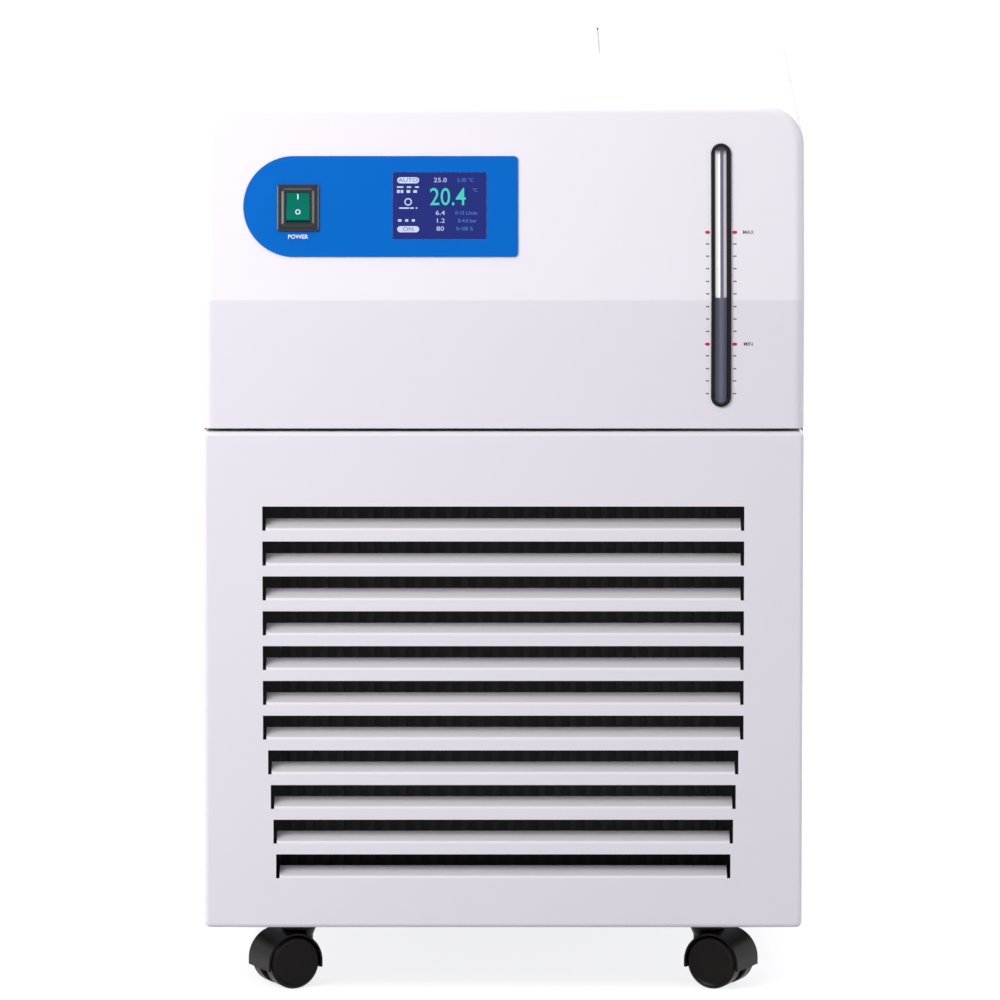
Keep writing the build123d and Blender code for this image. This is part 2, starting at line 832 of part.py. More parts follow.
with BuildPart() as reservoir_tank:
    with BuildSketch(Plane.XY.offset(deck_top)):
        with Locations((tank_left, behind(tank_near))):
            Rectangle(tank_right - tank_left, tank_far - tank_near, align=Align.MIN)
        fillet(vertices(), tank_corner)
    extrude(amount=tank_top - deck_top)
    offset(amount=-tank_wall, openings=reservoir_tank.faces().sort_by(Axis.Z)[-1])
    with BuildSketch(upright(behind(tank_near))):
        with Locations((gauge_x, gauge_low_z)):
            Circle(gauge_tube_radius + spigot_wall)
    extrude(amount=spigot)
    with BuildSketch(Plane.XY.offset(deck_top)):
        for x, depth in (feed_place, return_place, drain_place):
            with Locations((x, behind(depth))):
                Circle(hose_radius)
    extrude(amount=-2 * deck_thick)
reservoir_tank.part.label = "reservoir_tank"

with BuildPart() as tank_lid:
    with BuildSketch(Plane.XY.offset(tank_top)):
        with Locations((tank_left, behind(tank_near))):
            Rectangle(tank_right - tank_left, tank_far - tank_near, align=Align.MIN)
        fillet(vertices(), tank_corner)
    extrude(amount=lid_thick)
    with BuildSketch(Plane.XY.offset(lid_top)):
        with Locations((neck_x, behind(neck_depth))):
            Circle(neck_radius)
    extrude(amount=neck_height)
    with BuildSketch(Plane.XY.offset(lid_top)):
        with Locations((gauge_x, behind(vent_depth))):
            Circle(gauge_tube_radius + spigot_wall)
    extrude(amount=spigot)
    with BuildSketch(Plane.XY.offset(tank_top)):
        with Locations((neck_x, behind(neck_depth))):
            Circle(neck_radius - neck_wall)
    extrude(amount=lid_thick + neck_height, mode=Mode.SUBTRACT)
tank_lid.part.label = "tank_lid"

with BuildPart() as fill_cap:
    neck_top = lid_top + neck_height
    with BuildSketch(Plane.XY.offset(neck_top)):
        with Locations((neck_x, behind(neck_depth))):
            Circle(cap_radius)
    extrude(amount=cap_thick)
    chamfer(fill_cap.edges().sort_by(Axis.Z)[-1], cap_bevel)
    with BuildSketch(Plane.XY.offset(neck_top)):
        with Locations((neck_x, behind(neck_depth))):
            Circle(neck_radius - neck_wall - seat_gap)
            Circle(neck_radius - 3 * neck_wall, mode=Mode.SUBTRACT)
    extrude(amount=-cap_plug)
    with BuildSketch(Plane.XY.offset(neck_top + cap_thick)):
        with Locations((neck_x, behind(neck_depth))):
            SlotOverall(1.5 * cap_radius, cap_grip)
    extrude(amount=cap_grip)
fill_cap.part.label = "fill_cap"

pump_x = 90.0 - casing_width / 2
pump_z = 112.0
pump_near = 250.0
volute_radius = 33.0
volute_length = 36.0
motor_radius = 38.0
motor_length = 112.0
motor_round = 6.0
motor_foot = (80.0, 70.0, 4.0)
motor_pedestal = (40.0, 60.0)
terminal_box = (50.0, 56.0, 16.0)
inlet_boss = 8.0
hose_wall = 3.0
pump_outlet_z = pump_z + volute_radius + inlet_boss

with BuildPart() as pump_head:
    with BuildSketch(upright(behind(pump_near))):
        with Locations((pump_x, pump_z)):
            Circle(volute_radius)
    extrude(amount=-volute_length)
    with BuildSketch(upright(behind(pump_near))):
        with Locations((pump_x, pump_z)):
            Circle(hose_radius + hose_wall)
    extrude(amount=inlet_boss)
    outlet_y = behind(pump_near + volute_length / 2)
    with BuildSketch(Plane.XY.offset(pump_z)):
        with Locations((pump_x, outlet_y)):
            Circle(hose_radius + hose_wall)
    extrude(amount=pump_outlet_z - pump_z)
pump_head.part.label = "pump_head"

with BuildPart() as pump_motor:
    motor_near = behind(pump_near + volute_length)
    with BuildSketch(upright(motor_near)):
        with Locations((pump_x, pump_z)):
            Circle(motor_radius)
    extrude(amount=-motor_length)
    fillet(pump_motor.edges().sort_by(Axis.Y)[-1], motor_round)
    # Cast foot and terminal box.
    with Locations((pump_x, motor_near + motor_length / 2, pan_top)):
        Box(*motor_foot, align=upwards)
        Box(*motor_pedestal, pump_z - pan_top, align=upwards)
    with Locations((pump_x, motor_near + motor_length / 2, pump_z)):
        Box(*terminal_box[:2], motor_radius + terminal_box[2], align=upwards)
pump_motor.part.label = "pump_motor"

compressor_x = casing_width / 2 - 110.0
exchanger_x = (pump_x + compressor_x) / 2 - 12.5
exchanger_width = 75.0
exchanger_round = 10.0
boss_long = 6.0
stand_foot = (10.0, 7.0, 2.0)
stand_leg = (4.0, 26.0)
stand_inset = 5.0
exchanger_near = 300.0
exchanger_deep = 46.0
exchanger_low = 130.0
exchanger_high = 330.0
port_column = 18.5
port_low = 170.0
port_high = 290.0

with BuildPart() as plate_exchanger:
    with BuildSketch(Plane.XY.offset(exchanger_low)):
        with Locations((exchanger_x, behind(exchanger_near + exchanger_deep / 2))):
            RectangleRounded(exchanger_width, exchanger_deep, exchanger_round)
    extrude(amount=exchanger_high - exchanger_low)
    with BuildSketch(upright(behind(exchanger_near))):
        with Locations((exchanger_x, (port_low + port_high) / 2)):
            with GridLocations(2 * port_column, port_high - port_low, 2, 2):
                Circle(hose_radius + hose_wall)
    extrude(amount=boss_long)
    # Stand: two legs on a foot plate.
    with Locations((exchanger_x, behind(exchanger_near + exchanger_deep / 2), pan_top)):
        Box(
            exchanger_width + 2 * stand_foot[0],
            exchanger_deep + 2 * stand_foot[1],
            stand_foot[2],
            align=upwards,
        )
        with GridLocations(exchanger_width - 2 * stand_inset, 0, 2, 1):
            Box(*stand_leg, exchanger_low - pan_top, align=upwards)
plate_exchanger.part.label = "plate_exchanger"

# Refrigeration side: compressor on rubber feet, finned condenser, fan and pipes.
compressor_depth = 400.0
compressor_radius = 74.0
compressor_foot = 20.0
compressor_height = 215.0
foot_spread = 118.0
foot_radius = 11.0
seam_share = 0.42
seam_lip = 4.0
shell_lift = 3.0
shell_heel = (16.0, 18.0)
crown = 40.0
base_past = 15.0
base_round = 12.0

with BuildPart() as compressor_feet:
    with BuildSketch(Plane.XY.offset(pan_top)):
        with Locations((compressor_x, behind(compressor_depth))):
            with GridLocations(foot_spread, foot_spread, 2, 2):
                Circle(foot_radius)
    extrude(amount=compressor_foot)
compressor_feet.part.label = "compressor_feet"

shell_low = pan_top + compressor_foot
shell_seam = shell_low + seam_share * compressor_height
shell_top = shell_low + compressor_height
compressor_place = (compressor_x, behind(compressor_depth), 0)
dome_radius = (compressor_radius**2 + crown**2) / (2 * crown)

with BuildPart() as compressor:
    with BuildSketch(Plane(origin=compressor_place, x_dir=(1, 0, 0), z_dir=(0, -1, 0))):
        with BuildLine():
            wall = compressor_radius
            Polyline(
                (wall, shell_top - crown),
                (wall, shell_seam + seam_lip),
                (wall + seam_lip, shell_seam + seam_lip),
                (wall + seam_lip, shell_seam),
                (wall, shell_seam),
                (wall, shell_low + shell_heel[1]),
                (wall - shell_heel[0], shell_low + shell_lift),
                (0, shell_low + shell_lift),
                (0, shell_top),
            )
            bow = asin(wall / dome_radius) / 2
            dome_middle = shell_top - dome_radius + dome_radius * cos(bow)
            ThreePointArc(
                (0, shell_top), (dome_radius * sin(bow), dome_middle), (wall, shell_top - crown)
            )
        make_face()
    revolve(axis=Axis(compressor_place, (0, 0, 1)))
    with BuildSketch(Plane.XY.offset(shell_low)):
        with Locations(compressor_place[:2]):
            base_side = foot_spread + 2 * base_past
            RectangleRounded(base_side, base_side, base_round)
    extrude(amount=shell_lift)
compressor.part.label = "compressor"

condenser_depth = 42.0
condenser_thick = 30.0
condenser_half = casing_width / 2 - 40.0
condenser_low = 86.0
condenser_high = 386.0
end_plate = 1.5
condenser_tube = 4.75
tube_rows = 8
tube_pitch = 37.0
tube_low = 106.0
fin_pitch = 12.0
fin_gap = 7.0
fin_cut = 6.0
tube_end = condenser_half + 10.0
tube_past = 4.0
tube_depth = condenser_depth + condenser_thick / 2
tube_high = tube_low + (tube_rows - 1) * tube_pitch

with BuildPart() as condenser_fins:
    fin_height = condenser_high - condenser_low
    with Locations((0, behind(condenser_depth), condenser_low)):
        Box(2 * condenser_half, condenser_thick, fin_height, align=backwards)
    fin_count = int(2 * (condenser_half - fin_pitch) / fin_pitch)
    for depth, inwards in ((condenser_depth, -1), (condenser_depth + condenser_thick, 1)):
        with BuildSketch(upright(behind(depth))):
            with Locations((0, (condenser_low + condenser_high) / 2)):
                with GridLocations(fin_pitch, 0, fin_count, 1):
                    Rectangle(fin_gap, fin_height)
        extrude(amount=inwards * fin_cut, mode=Mode.SUBTRACT)
    # Side plates reach down to the pan.
    for side in (-1, 1):
        plate_x = side * (condenser_half + end_plate / 2)
        with Locations((plate_x, behind(condenser_depth), pan_top)):
            Box(end_plate, condenser_thick, condenser_high - pan_top, align=backwards)
    with BuildSketch(Plane.YZ.offset(-condenser_half - end_plate)):
        with Locations((behind(tube_depth), (tube_low + tube_high) / 2)):
            with GridLocations(0, tube_pitch, 1, tube_rows):
                Circle(condenser_tube + running)
    extrude(amount=2 * (condenser_half + end_plate), mode=Mode.SUBTRACT)
condenser_fins.part.label = "condenser_fins"

with BuildPart() as condenser_tubes:
    with BuildLine() as serpentine:
        for row in range(tube_rows):
            z = tube_high - row * tube_pitch
            side = 1 if row % 2 == 0 else -1
            start = tube_end if row == 0 else side * (condenser_half + tube_past)
            end = tube_end if row == tube_rows - 1 else -side * (condenser_half + tube_past)
            y = behind(tube_depth)
            Line((start, y, z), (end, y, z))
            if row < tube_rows - 1:
                bow = (end - side * tube_pitch / 2, y, z - tube_pitch / 2)
                ThreePointArc((end, y, z), bow, (end, y, z - tube_pitch))
    with BuildSketch(Plane(serpentine.line @ 0, z_dir=serpentine.line % 0)):
        Circle(condenser_tube)
    sweep(path=serpentine.line)
condenser_tubes.part.label = "condenser_tubes"

shroud_near = condenser_depth + condenser_thick + 2.0
shroud_deep = 40.0
shroud_half = casing_width / 2 - 30.0
shroud_high = 400.0
fan_opening = 136.0
collar_deep = 10.0
shroud_back = behind(shroud_near + shroud_deep)

with BuildPart() as fan_shroud:
    with BuildSketch(upright(behind(shroud_near))):
        with Locations((0, (pan_top + shroud_high) / 2)):
            Rectangle(2 * shroud_half, shroud_high - pan_top)
    extrude(amount=-shroud_deep)
    offset(amount=-sheet, openings=fan_shroud.faces().sort_by(Axis.Y)[0])
    with BuildSketch(upright(shroud_back)):
        with Locations((0, fan_z)):
            Circle(fan_opening + sheet)
    extrude(amount=-collar_deep)
    with BuildSketch(upright(shroud_back - sheet)):
        with Locations((0, fan_z)):
            Circle(fan_opening)
    extrude(amount=-collar_deep - sheet, mode=Mode.SUBTRACT)
fan_shroud.part.label = "fan_shroud"

blade_count = 5
blade_tip = 129.0
blade_pitch = 28.0
blade_thick = 1.6
blade_spread = 50.0
blade_bow = 8.0
blade_root = 4.0
narrowing = 0.7
hub_radius = 28.0
hub_length = 26.0
hub_round = 4.0
shaft_radius = 4.0
shaft_length = 18.0
fan_motor_radius = 42.0
fan_motor_length = 56.0
fan_motor_round = 5.0
fan_y = shroud_back + 6.0
motor_front = fan_y + hub_length + 4.0

with BuildPart() as fan_blades:
    with BuildSketch(upright(fan_y)):
        with Locations((0, fan_z)):
            Circle(hub_radius)
    extrude(amount=-hub_length)
    fillet(fan_blades.edges().sort_by(Axis.Y)[0], hub_round)
    middle = (0, fan_y + hub_length / 2, fan_z)
    for index in range(blade_count):
        turn = radians(index * 360 / blade_count)
        outwards = Vector(sin(turn), 0, cos(turn))
        across = Vector(cos(turn), 0, -sin(turn))
        tilt = radians(blade_pitch)
        chord = across * cos(tilt) + Vector(0, 1, 0) * sin(tilt)
        blade_plane = Plane(origin=middle, x_dir=outwards, z_dir=outwards.cross(chord))
        with BuildSketch(blade_plane):
            with BuildLine():
                half = radians(blade_spread / 2)
                root = hub_radius - blade_root
                inner_low = (root, -root * tan(half) * narrowing)
                inner_high = (root, root * tan(half) * narrowing)
                outer_low = (blade_tip * cos(half), -blade_tip * sin(half))
                lead = half * narrowing
                outer_high = (blade_tip * cos(lead), blade_tip * sin(lead))
                Line(inner_high, inner_low)
                SagittaArc(inner_low, outer_low, blade_bow)
                RadiusArc(outer_low, outer_high, -blade_tip)
                SagittaArc(outer_high, inner_high, blade_bow)
            make_face()
        extrude(amount=blade_thick / 2, both=True)
    with BuildSketch(upright(fan_y + hub_length)):
        with Locations((0, fan_z)):
            Circle(shaft_radius)
    extrude(amount=-shaft_length)
fan_blades.part.label = "fan_blades"

with BuildPart() as fan_motor:
    with BuildSketch(upright(motor_front)):
        with Locations((0, fan_z)):
            Circle(fan_motor_radius)
    extrude(amount=-fan_motor_length)
    fillet(fan_motor.edges().filter_by(GeomType.CIRCLE), fan_motor_round)
    with BuildSketch(upright(motor_front)):
        with Locations((0, fan_z)):
            Circle(shaft_radius + running)
    extrude(amount=-shaft_length, mode=Mode.SUBTRACT)
fan_motor.part.label = "fan_motor"

arm_reach = 165.0
arm_width = 12.0
arm_thick = 2.5
clamp_wall = 8.0
bracket_y = motor_front + fan_motor_length / 2

with BuildPart() as fan_bracket:
    with BuildSketch(upright(bracket_y)):
        with Locations((0, fan_z)):
            Circle(fan_motor_radius + clamp_wall)
            with Locations(Location((0, 0), 45), Location((0, 0), -45)):
                Rectangle(2 * arm_reach, arm_width)
            Circle(fan_motor_radius + seat_gap, mode=Mode.SUBTRACT)
    extrude(amount=-arm_thick)
    with BuildSketch(upright(shroud_back)):
        with Locations((0, fan_z)):
            with PolarLocations(arm_reach - arm_width / 2, 4, start_angle=45):
                Rectangle(arm_width, arm_width)
    extrude(amount=shroud_back - bracket_y)
fan_bracket.part.label = "fan_bracket"

# Copper lines and water hoses, each from port to port.
copper_bend = 10.0
suction_bend = 8.0
hose_bend = 12.0
hose_sweep = 20.0
side_lane = casing_width / 2 - 18.0
liquid_lane = 250.0
suction_lane = compressor_x - compressor_radius - 18.0
suction_z = 215.0
drier_left = compressor_x - 60.0
drier_right = compressor_x + 30.0
drier_radius = 16.0
drier_taper = 10.0
refrigerant_x = exchanger_x + port_column
water_x = exchanger_x - port_column
port_face = exchanger_near - boss_long
suction_depth = port_face - 4 * suction_bend
feed_z = 405.0
lift_z = 215.0

discharge_line = pipe(
    [
        (compressor_x, compressor_depth, shell_top),
        (compressor_x, compressor_depth, tube_high),
        (side_lane, compressor_depth, tube_high),
        (side_lane, tube_depth, tube_high),
        (tube_end, tube_depth, tube_high),
    ],
    copper_bend,
    copper_radius,
)
discharge_line.label = "discharge_line"

liquid_line = pipe(
    [
        (tube_end, tube_depth, tube_low),
        (side_lane, tube_depth, tube_low),
        (side_lane, liquid_lane, tube_low),
        (drier_right, liquid_lane, tube_low),
    ],
    copper_bend,
    copper_radius,
) + pipe(
    [
        (drier_left, liquid_lane, tube_low),
        (refrigerant_x, liquid_lane, tube_low),
        (refrigerant_x, liquid_lane, port_low),
        (refrigerant_x, port_face, port_low),
    ],
    copper_bend,
    copper_radius,
)
liquid_line.label = "liquid_line"

suction_line = pipe(
    [
        (refrigerant_x, port_face, port_high),
        (refrigerant_x, suction_depth, port_high),
        (suction_lane, suction_depth, port_high),
        (suction_lane, compressor_depth, port_high),
        (suction_lane, compressor_depth, suction_z),
        (compressor_x - compressor_radius, compressor_depth, suction_z),
    ],
    suction_bend,
    suction_radius,
)
suction_line.label = "suction_line"

with BuildPart() as filter_drier:
    with BuildSketch(Plane.YZ.offset(drier_left)):
        with Locations((behind(liquid_lane), tube_low)):
            Circle(drier_radius)
    extrude(amount=drier_right - drier_left)
    chamfer(filter_drier.edges().filter_by(GeomType.CIRCLE), drier_taper)
filter_drier.part.label = "filter_drier"

tank_outlet_z = deck_top - 2 * deck_thick
pump_hose = pipe(
    [
        (feed_place[0], feed_place[1], tank_outlet_z),
        (feed_place[0], feed_place[1], feed_z),
        (pump_x, feed_place[1], feed_z),
        (pump_x, feed_place[1], pump_z),
        (pump_x, pump_near - inlet_boss, pump_z),
    ],
    hose_sweep,
    hose_radius,
)

outlet_depth = pump_near + volute_length / 2
cooling_hose = pipe(
    [
        (pump_x, outlet_depth, pump_outlet_z),
        (pump_x, outlet_depth, lift_z),
        (water_x, outlet_depth, lift_z),
        (water_x, outlet_depth, port_low),
        (water_x, port_face, port_low),
    ],
    hose_bend,
    hose_radius,
)

port_inside = 12.0
fitting_depth = body_depth - sheet - port_inside
supply_hose = pipe(
    [
        (water_x, port_face, port_high),
        (water_x, outlet_depth, port_high),
        (water_x, outlet_depth, port_z),
        (supply_x, outlet_depth, port_z),
        (supply_x, fitting_depth, port_z),
    ],
    hose_bend,
    hose_radius,
)

return_hose = pipe(
    [
        (return_x, fitting_depth, port_z),
        (return_x, return_place[1], port_z),
        (return_place[0], return_place[1], port_z),
        (return_place[0], return_place[1], tank_outlet_z),
    ],
    hose_sweep,
    hose_radius,
)

drain_hose = pipe(
    [
        (drain_place[0], drain_place[1], tank_outlet_z),
        (drain_place[0], drain_place[1], drain_z),
        (drain_place[0], fitting_depth, drain_z),
    ],
    hose_sweep,
    hose_radius,
)

hoses = (pump_hose, cooling_hose, supply_hose, return_hose, drain_hose)
water_hoses = Compound([solid for hose in hoses for solid in hose.solids()])
water_hoses.label = "water_hoses"

port_bore = 6.5
port_bevel = 0.8
collar_thick = 5.0
collar_flats = 26.0
flange_past = 4.0
flange_thick = 4.0


def water_port(x):
    """A port through the back panel: hose tail inside, hex collar and male end outside."""
    with BuildPart() as port:
        with BuildSketch(upright(rear - sheet - port_inside)):
            with Locations((x, port_z)):
                Circle(port_radius)
        extrude(amount=-(port_inside + sheet + port_reach))
        with BuildSketch(upright(rear)):
            with Locations((x, port_z)):
                RegularPolygon(collar_flats / 2, 6, major_radius=False)
        extrude(amount=-collar_thick)
        with BuildSketch(upright(rear - sheet)):
            with Locations((x, port_z)):
                Circle(port_radius + flange_past)
        extrude(amount=flange_thick)
        with BuildSketch(upright(rear + port_reach)):
            with Locations((x, port_z)):
                Circle(port_bore)
        extrude(amount=port_reach + sheet + port_inside / 2, mode=Mode.SUBTRACT)
        chamfer(port.edges().sort_by(Axis.Y)[-1], port_bevel)
    return port.part


port_pair = (water_port(supply_x), water_port(return_x))
water_ports = Compound([solid for port in port_pair for solid in port.solids()])
water_ports.label = "water_ports"

valve_body = 20.0
valve_spout = 6.5
valve_bore = 4.0
lever_stem = 3.0
lever_sink = 5.0
lever_length = 38.0
lever_width = 9.0
lever_thick = 3.0
lever_lift = 3.0
lever_round = 3.0
lever_eye = 3.0
washer = (3.0, 2.0)
valve_middle = rear + valve_body / 2

with BuildPart() as drain_valve:
    with BuildSketch(upright(rear - sheet - port_inside)):
        with Locations((drain_x, drain_z)):
            Circle(valve_radius)
    extrude(amount=-(port_inside + sheet + valve_body))
    with BuildSketch(upright(rear + valve_body)):
        with Locations((drain_x, drain_z)):
            Circle(valve_spout)
    extrude(amount=-(port_reach - valve_body))
    with BuildSketch(upright(rear)):
        with Locations((drain_x, drain_z)):
            Circle(valve_radius + washer[0])
    extrude(amount=-washer[1])
    with BuildSketch(upright(rear + port_reach)):
        with Locations((drain_x, drain_z)):
            Circle(valve_bore)
    extrude(amount=port_reach - valve_body, mode=Mode.SUBTRACT)
    with BuildSketch(Plane.XY.offset(drain_z)):
        with Locations((drain_x, valve_middle)):
            Circle(lever_stem + lever_eye)
    extrude(amount=valve_radius + lever_lift - seat_gap)
    with BuildSketch(Plane.XY.offset(drain_z + valve_radius + lever_lift - lever_sink)):
        with Locations((drain_x, valve_middle)):
            Circle(lever_stem + running)
    extrude(amount=lever_sink, mode=Mode.SUBTRACT)
drain_valve.part.label = "drain_valve"

with BuildPart() as drain_lever:
    lever_low = drain_z + valve_radius + lever_lift
    with BuildSketch(Plane.XY.offset(lever_low)):
        with Locations((drain_x, valve_middle)):
            Circle(lever_stem + lever_eye)
            Rectangle(lever_length, lever_width, align=(Align.MIN, Align.CENTER))
        fillet(vertices().group_by(Axis.X)[-1], lever_round)
    extrude(amount=lever_thick)
    with BuildSketch(Plane.XY.offset(lever_low - lever_sink + seat_gap)):
        with Locations((drain_x, valve_middle)):
            Circle(lever_stem)
    extrude(amount=lever_sink)
drain_lever.part.label = "drain_lever"

inlet_recess = (24.0, 16.6)
recess_deep = 17.0
inlet_deep = 26.0
flange_round = 4.0
inlet_lip = 3.0
contact_long = 11.0
contact_size = (2.0, 4.0)
contacts = ((-7.0, -2.0), (7.0, -2.0), (0.0, 2.0))

with BuildPart() as power_inlet:
    with BuildSketch(upright(rear)):
        with Locations((inlet_x, inlet_z)):
            RectangleRounded(*inlet_flange, flange_round)
    extrude(amount=-inlet_lip)
    with BuildSketch(upright(rear)):
        with Locations((inlet_x, inlet_z)):
            Rectangle(*inlet_body)
    extrude(amount=inlet_deep)
    with BuildSketch(upright(rear + inlet_lip)):
        with Locations((inlet_x, inlet_z)):
            Rectangle(*inlet_recess)
    extrude(amount=recess_deep, mode=Mode.SUBTRACT)
    with BuildSketch(upright(rear + inlet_lip - recess_deep)):
        with Locations((inlet_x, inlet_z)):
            with Locations(*contacts):
                Rectangle(*contact_size)
    extrude(amount=-contact_long)
power_inlet.part.label = "power_inlet"

# Casters: hooded twin-wheel swivels on screwed stems, made once about the swivel axis.
wheel_space = wheel_width + wheel_gap
hood_half = web_width / 2 + wheel_space
fender_radius = wheel_radius + fender_gap + fender_wall
stem_bottom = boss_top - stem_depth + seat_gap
axle_boss = 6.0
fender_skirt = 5.0
axle_inset = 4.0
axle_end_gap = 0.5
tread_lip = 2.5
dish_edge = 4.0
stem_past = 3.0
crown_flare = 6.0
crown_low = wheel_radius + fender_radius + fender_wall

with BuildPart() as caster_shape:
    with BuildSketch(Plane.XZ.offset(-hood_half)):
        with Locations((-caster_trail, wheel_radius)):
            Circle(fender_radius)
            Rectangle(
                2 * fender_radius,
                fender_radius,
                align=(Align.CENTER, Align.MAX),
                mode=Mode.SUBTRACT,
            )
            Rectangle(2 * fender_radius, fender_skirt, align=(Align.CENTER, Align.MAX))
    extrude(amount=2 * hood_half)
    with BuildSketch(Plane.XZ):
        with BuildLine():
            Polyline(
                (0, wheel_radius),
                (boss_radius, wheel_radius),
                (boss_radius, crown_low - crown_flare),
                (crown_radius, crown_low),
                (crown_radius, boss_top),
                (0, boss_top),
                close=True,
            )
        make_face()
    revolve(axis=Axis.Z)
    for side in (-1, 1):
        with BuildSketch(Plane.XZ.offset(-side * web_width / 2)):
            with Locations((-caster_trail, wheel_radius)):
                Circle(wheel_radius + fender_gap)
        extrude(amount=-side * (wheel_space + crown_radius), mode=Mode.SUBTRACT)
    with BuildSketch(Plane.XZ.offset(-web_width / 2)):
        with Locations((-caster_trail, wheel_radius)):
            Circle(axle_radius + axle_boss)
    extrude(amount=web_width)
    with BuildSketch(Plane.XZ.offset(-hood_half + axle_inset)):
        with Locations((-caster_trail, wheel_radius)):
            Circle(axle_radius)
    extrude(amount=2 * (hood_half - axle_inset))
    with BuildSketch(Plane.XY.offset(boss_top - stem_depth)):
        Circle(stem_radius + running)
    extrude(amount=stem_depth, mode=Mode.SUBTRACT)

with BuildPart() as wheel_shape:
    with BuildSketch(Plane.YZ.offset(-caster_trail)):
        with BuildLine():
            near = web_width / 2 + wheel_gap
            far = near + wheel_width
            bore_end = hood_half - axle_inset + axle_end_gap
            Polyline(
                (near, wheel_radius + axle_radius + running),
                (near, 2 * wheel_radius - wheel_chamfer),
                (near + wheel_chamfer, 2 * wheel_radius),
                (far - wheel_chamfer, 2 * wheel_radius),
                (far, 2 * wheel_radius - wheel_chamfer),
                (far, 2 * wheel_radius - tread_lip),
                (far - wheel_dish, 2 * wheel_radius - dish_edge),
                (far - wheel_dish, wheel_radius),
                (bore_end, wheel_radius),
                (bore_end, wheel_radius + axle_radius + running),
                close=True,
            )
        make_face()
    revolve(axis=Axis((-caster_trail, 0, wheel_radius), (0, 1, 0)))

other_wheel = wheel_shape.part.mirror(Plane.XZ)
casters = []
for corner, turn in caster_turns.items():
    place = Location((*caster_places[corner], 0), (0, 0, turn))
    for name, shape in (
        ("caster_hood", caster_shape.part),
        ("caster_wheel_a", wheel_shape.part),
        ("caster_wheel_b", other_wheel),
    ):
        moved = shape.moved(place)
        moved.label = f"{name}_{corner}"
        casters.append(moved)

with BuildPart() as caster_stems:
    stem_height = pan_top + nut_height + stem_past - stem_bottom
    with BuildSketch(Plane.XY.offset(stem_bottom)):
        with Locations(*caster_places.values()):
            Circle(stem_radius)
    extrude(amount=stem_height)
    with BuildSketch(Plane.XY.offset(boss_top + seat_gap)):
        with Locations(*caster_places.values()):
            Circle(collar_radius)
    extrude(amount=pan_bottom - boss_top - seat_gap)

# Nuts on top of the pan, one to a stem.
with BuildPart() as caster_nuts:
    with BuildSketch(Plane.XY.offset(pan_top)):
        with Locations(*caster_places.values()):
            RegularPolygon(nut_flats / 2, 6, major_radius=False)
            Circle(stem_radius + running, mode=Mode.SUBTRACT)
    extrude(amount=nut_height)

stem_set = Compound([*caster_stems.part.solids(), *caster_nuts.part.solids()])
stem_set.label = "caster_stems"

built = (
    base_pan,
    chassis_frame,
    mid_deck,
    front_grille,
    rear_panel,
    panel_screws,
    hood,
    fill_hatch,
    hood_rear_plate,
    hatch_hinge,
    hinge_pin,
    control_plate,
    display_window,
    display_module,
    control_board,
    switch_body,
    switch_rocker,
    gauge_trim,
    gauge_channel,
    gauge_tube,
    reservoir_tank,
    tank_lid,
    fill_cap,
    pump_head,
    pump_motor,
    plate_exchanger,
    compressor_feet,
    compressor,
    condenser_fins,
    condenser_tubes,
    fan_shroud,
    fan_blades,
    fan_motor,
    fan_bracket,
    filter_drier,
    drain_valve,
    drain_lever,
    power_inlet,
)
side_panels = (left_side_panel, right_side_panel)
lines = (discharge_line, liquid_line, suction_line, water_hoses, water_ports, stem_set)
os.makedirs("parts", exist_ok=True)
for piece in [*(item.part for item in built), *side_panels, *lines, *casters]:
    export_step(piece, f"parts/{piece.label}.step")
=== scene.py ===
"""Looks of the recirculating chiller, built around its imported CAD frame."""

import json
import logging
import math
from dataclasses import dataclass, field
from enum import Enum
from typing import Sequence

import bmesh
import bpy
import numpy as np
from mathutils import Euler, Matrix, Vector
from mathutils.bvhtree import BVHTree

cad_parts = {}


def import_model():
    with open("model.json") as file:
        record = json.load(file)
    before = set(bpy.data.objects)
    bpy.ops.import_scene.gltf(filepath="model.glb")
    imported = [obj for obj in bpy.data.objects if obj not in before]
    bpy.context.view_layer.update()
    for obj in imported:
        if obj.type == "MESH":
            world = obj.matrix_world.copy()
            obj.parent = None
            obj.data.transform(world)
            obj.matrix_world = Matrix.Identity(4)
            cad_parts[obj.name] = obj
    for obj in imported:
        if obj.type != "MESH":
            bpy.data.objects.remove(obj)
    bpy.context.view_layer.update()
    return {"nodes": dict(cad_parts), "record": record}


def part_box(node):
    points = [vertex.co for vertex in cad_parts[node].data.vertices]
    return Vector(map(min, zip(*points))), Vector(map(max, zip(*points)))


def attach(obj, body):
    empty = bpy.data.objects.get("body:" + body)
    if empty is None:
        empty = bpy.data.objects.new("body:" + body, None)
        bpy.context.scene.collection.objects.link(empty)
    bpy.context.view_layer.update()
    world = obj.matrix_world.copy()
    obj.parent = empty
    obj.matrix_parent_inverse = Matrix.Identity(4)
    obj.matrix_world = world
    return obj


LOG = logging.getLogger("chiller")
Colour = tuple[float, float, float]
Array = np.ndarray

HOOD_FRONT = -0.29525
CREASE_Z = 0.5431
LEAN_RISE = 0.1449
LEAN_SETBACK = 0.0386
LEAN = math.atan(LEAN_SETBACK / LEAN_RISE)
PLATE_THICK = 0.0012
GAUGE_X = 0.1664
PHOTO_MIDDLE = 503.5
CREASE_ROW = 300.5
ROW_ABOVE_CREASE = 0.000769
ROW_BELOW_CREASE = 0.000773
COLUMN_WIDTH = 0.000764
SCREEN_PIXEL = 0.000766
PRINT_LIFT = 0.00008
CAPITAL_SHARE = 0.7
DRAPE_START = 0.02


class Side(Enum):
    """Which way round a repeated mark goes."""

    LEFT = -1
    RIGHT = 1


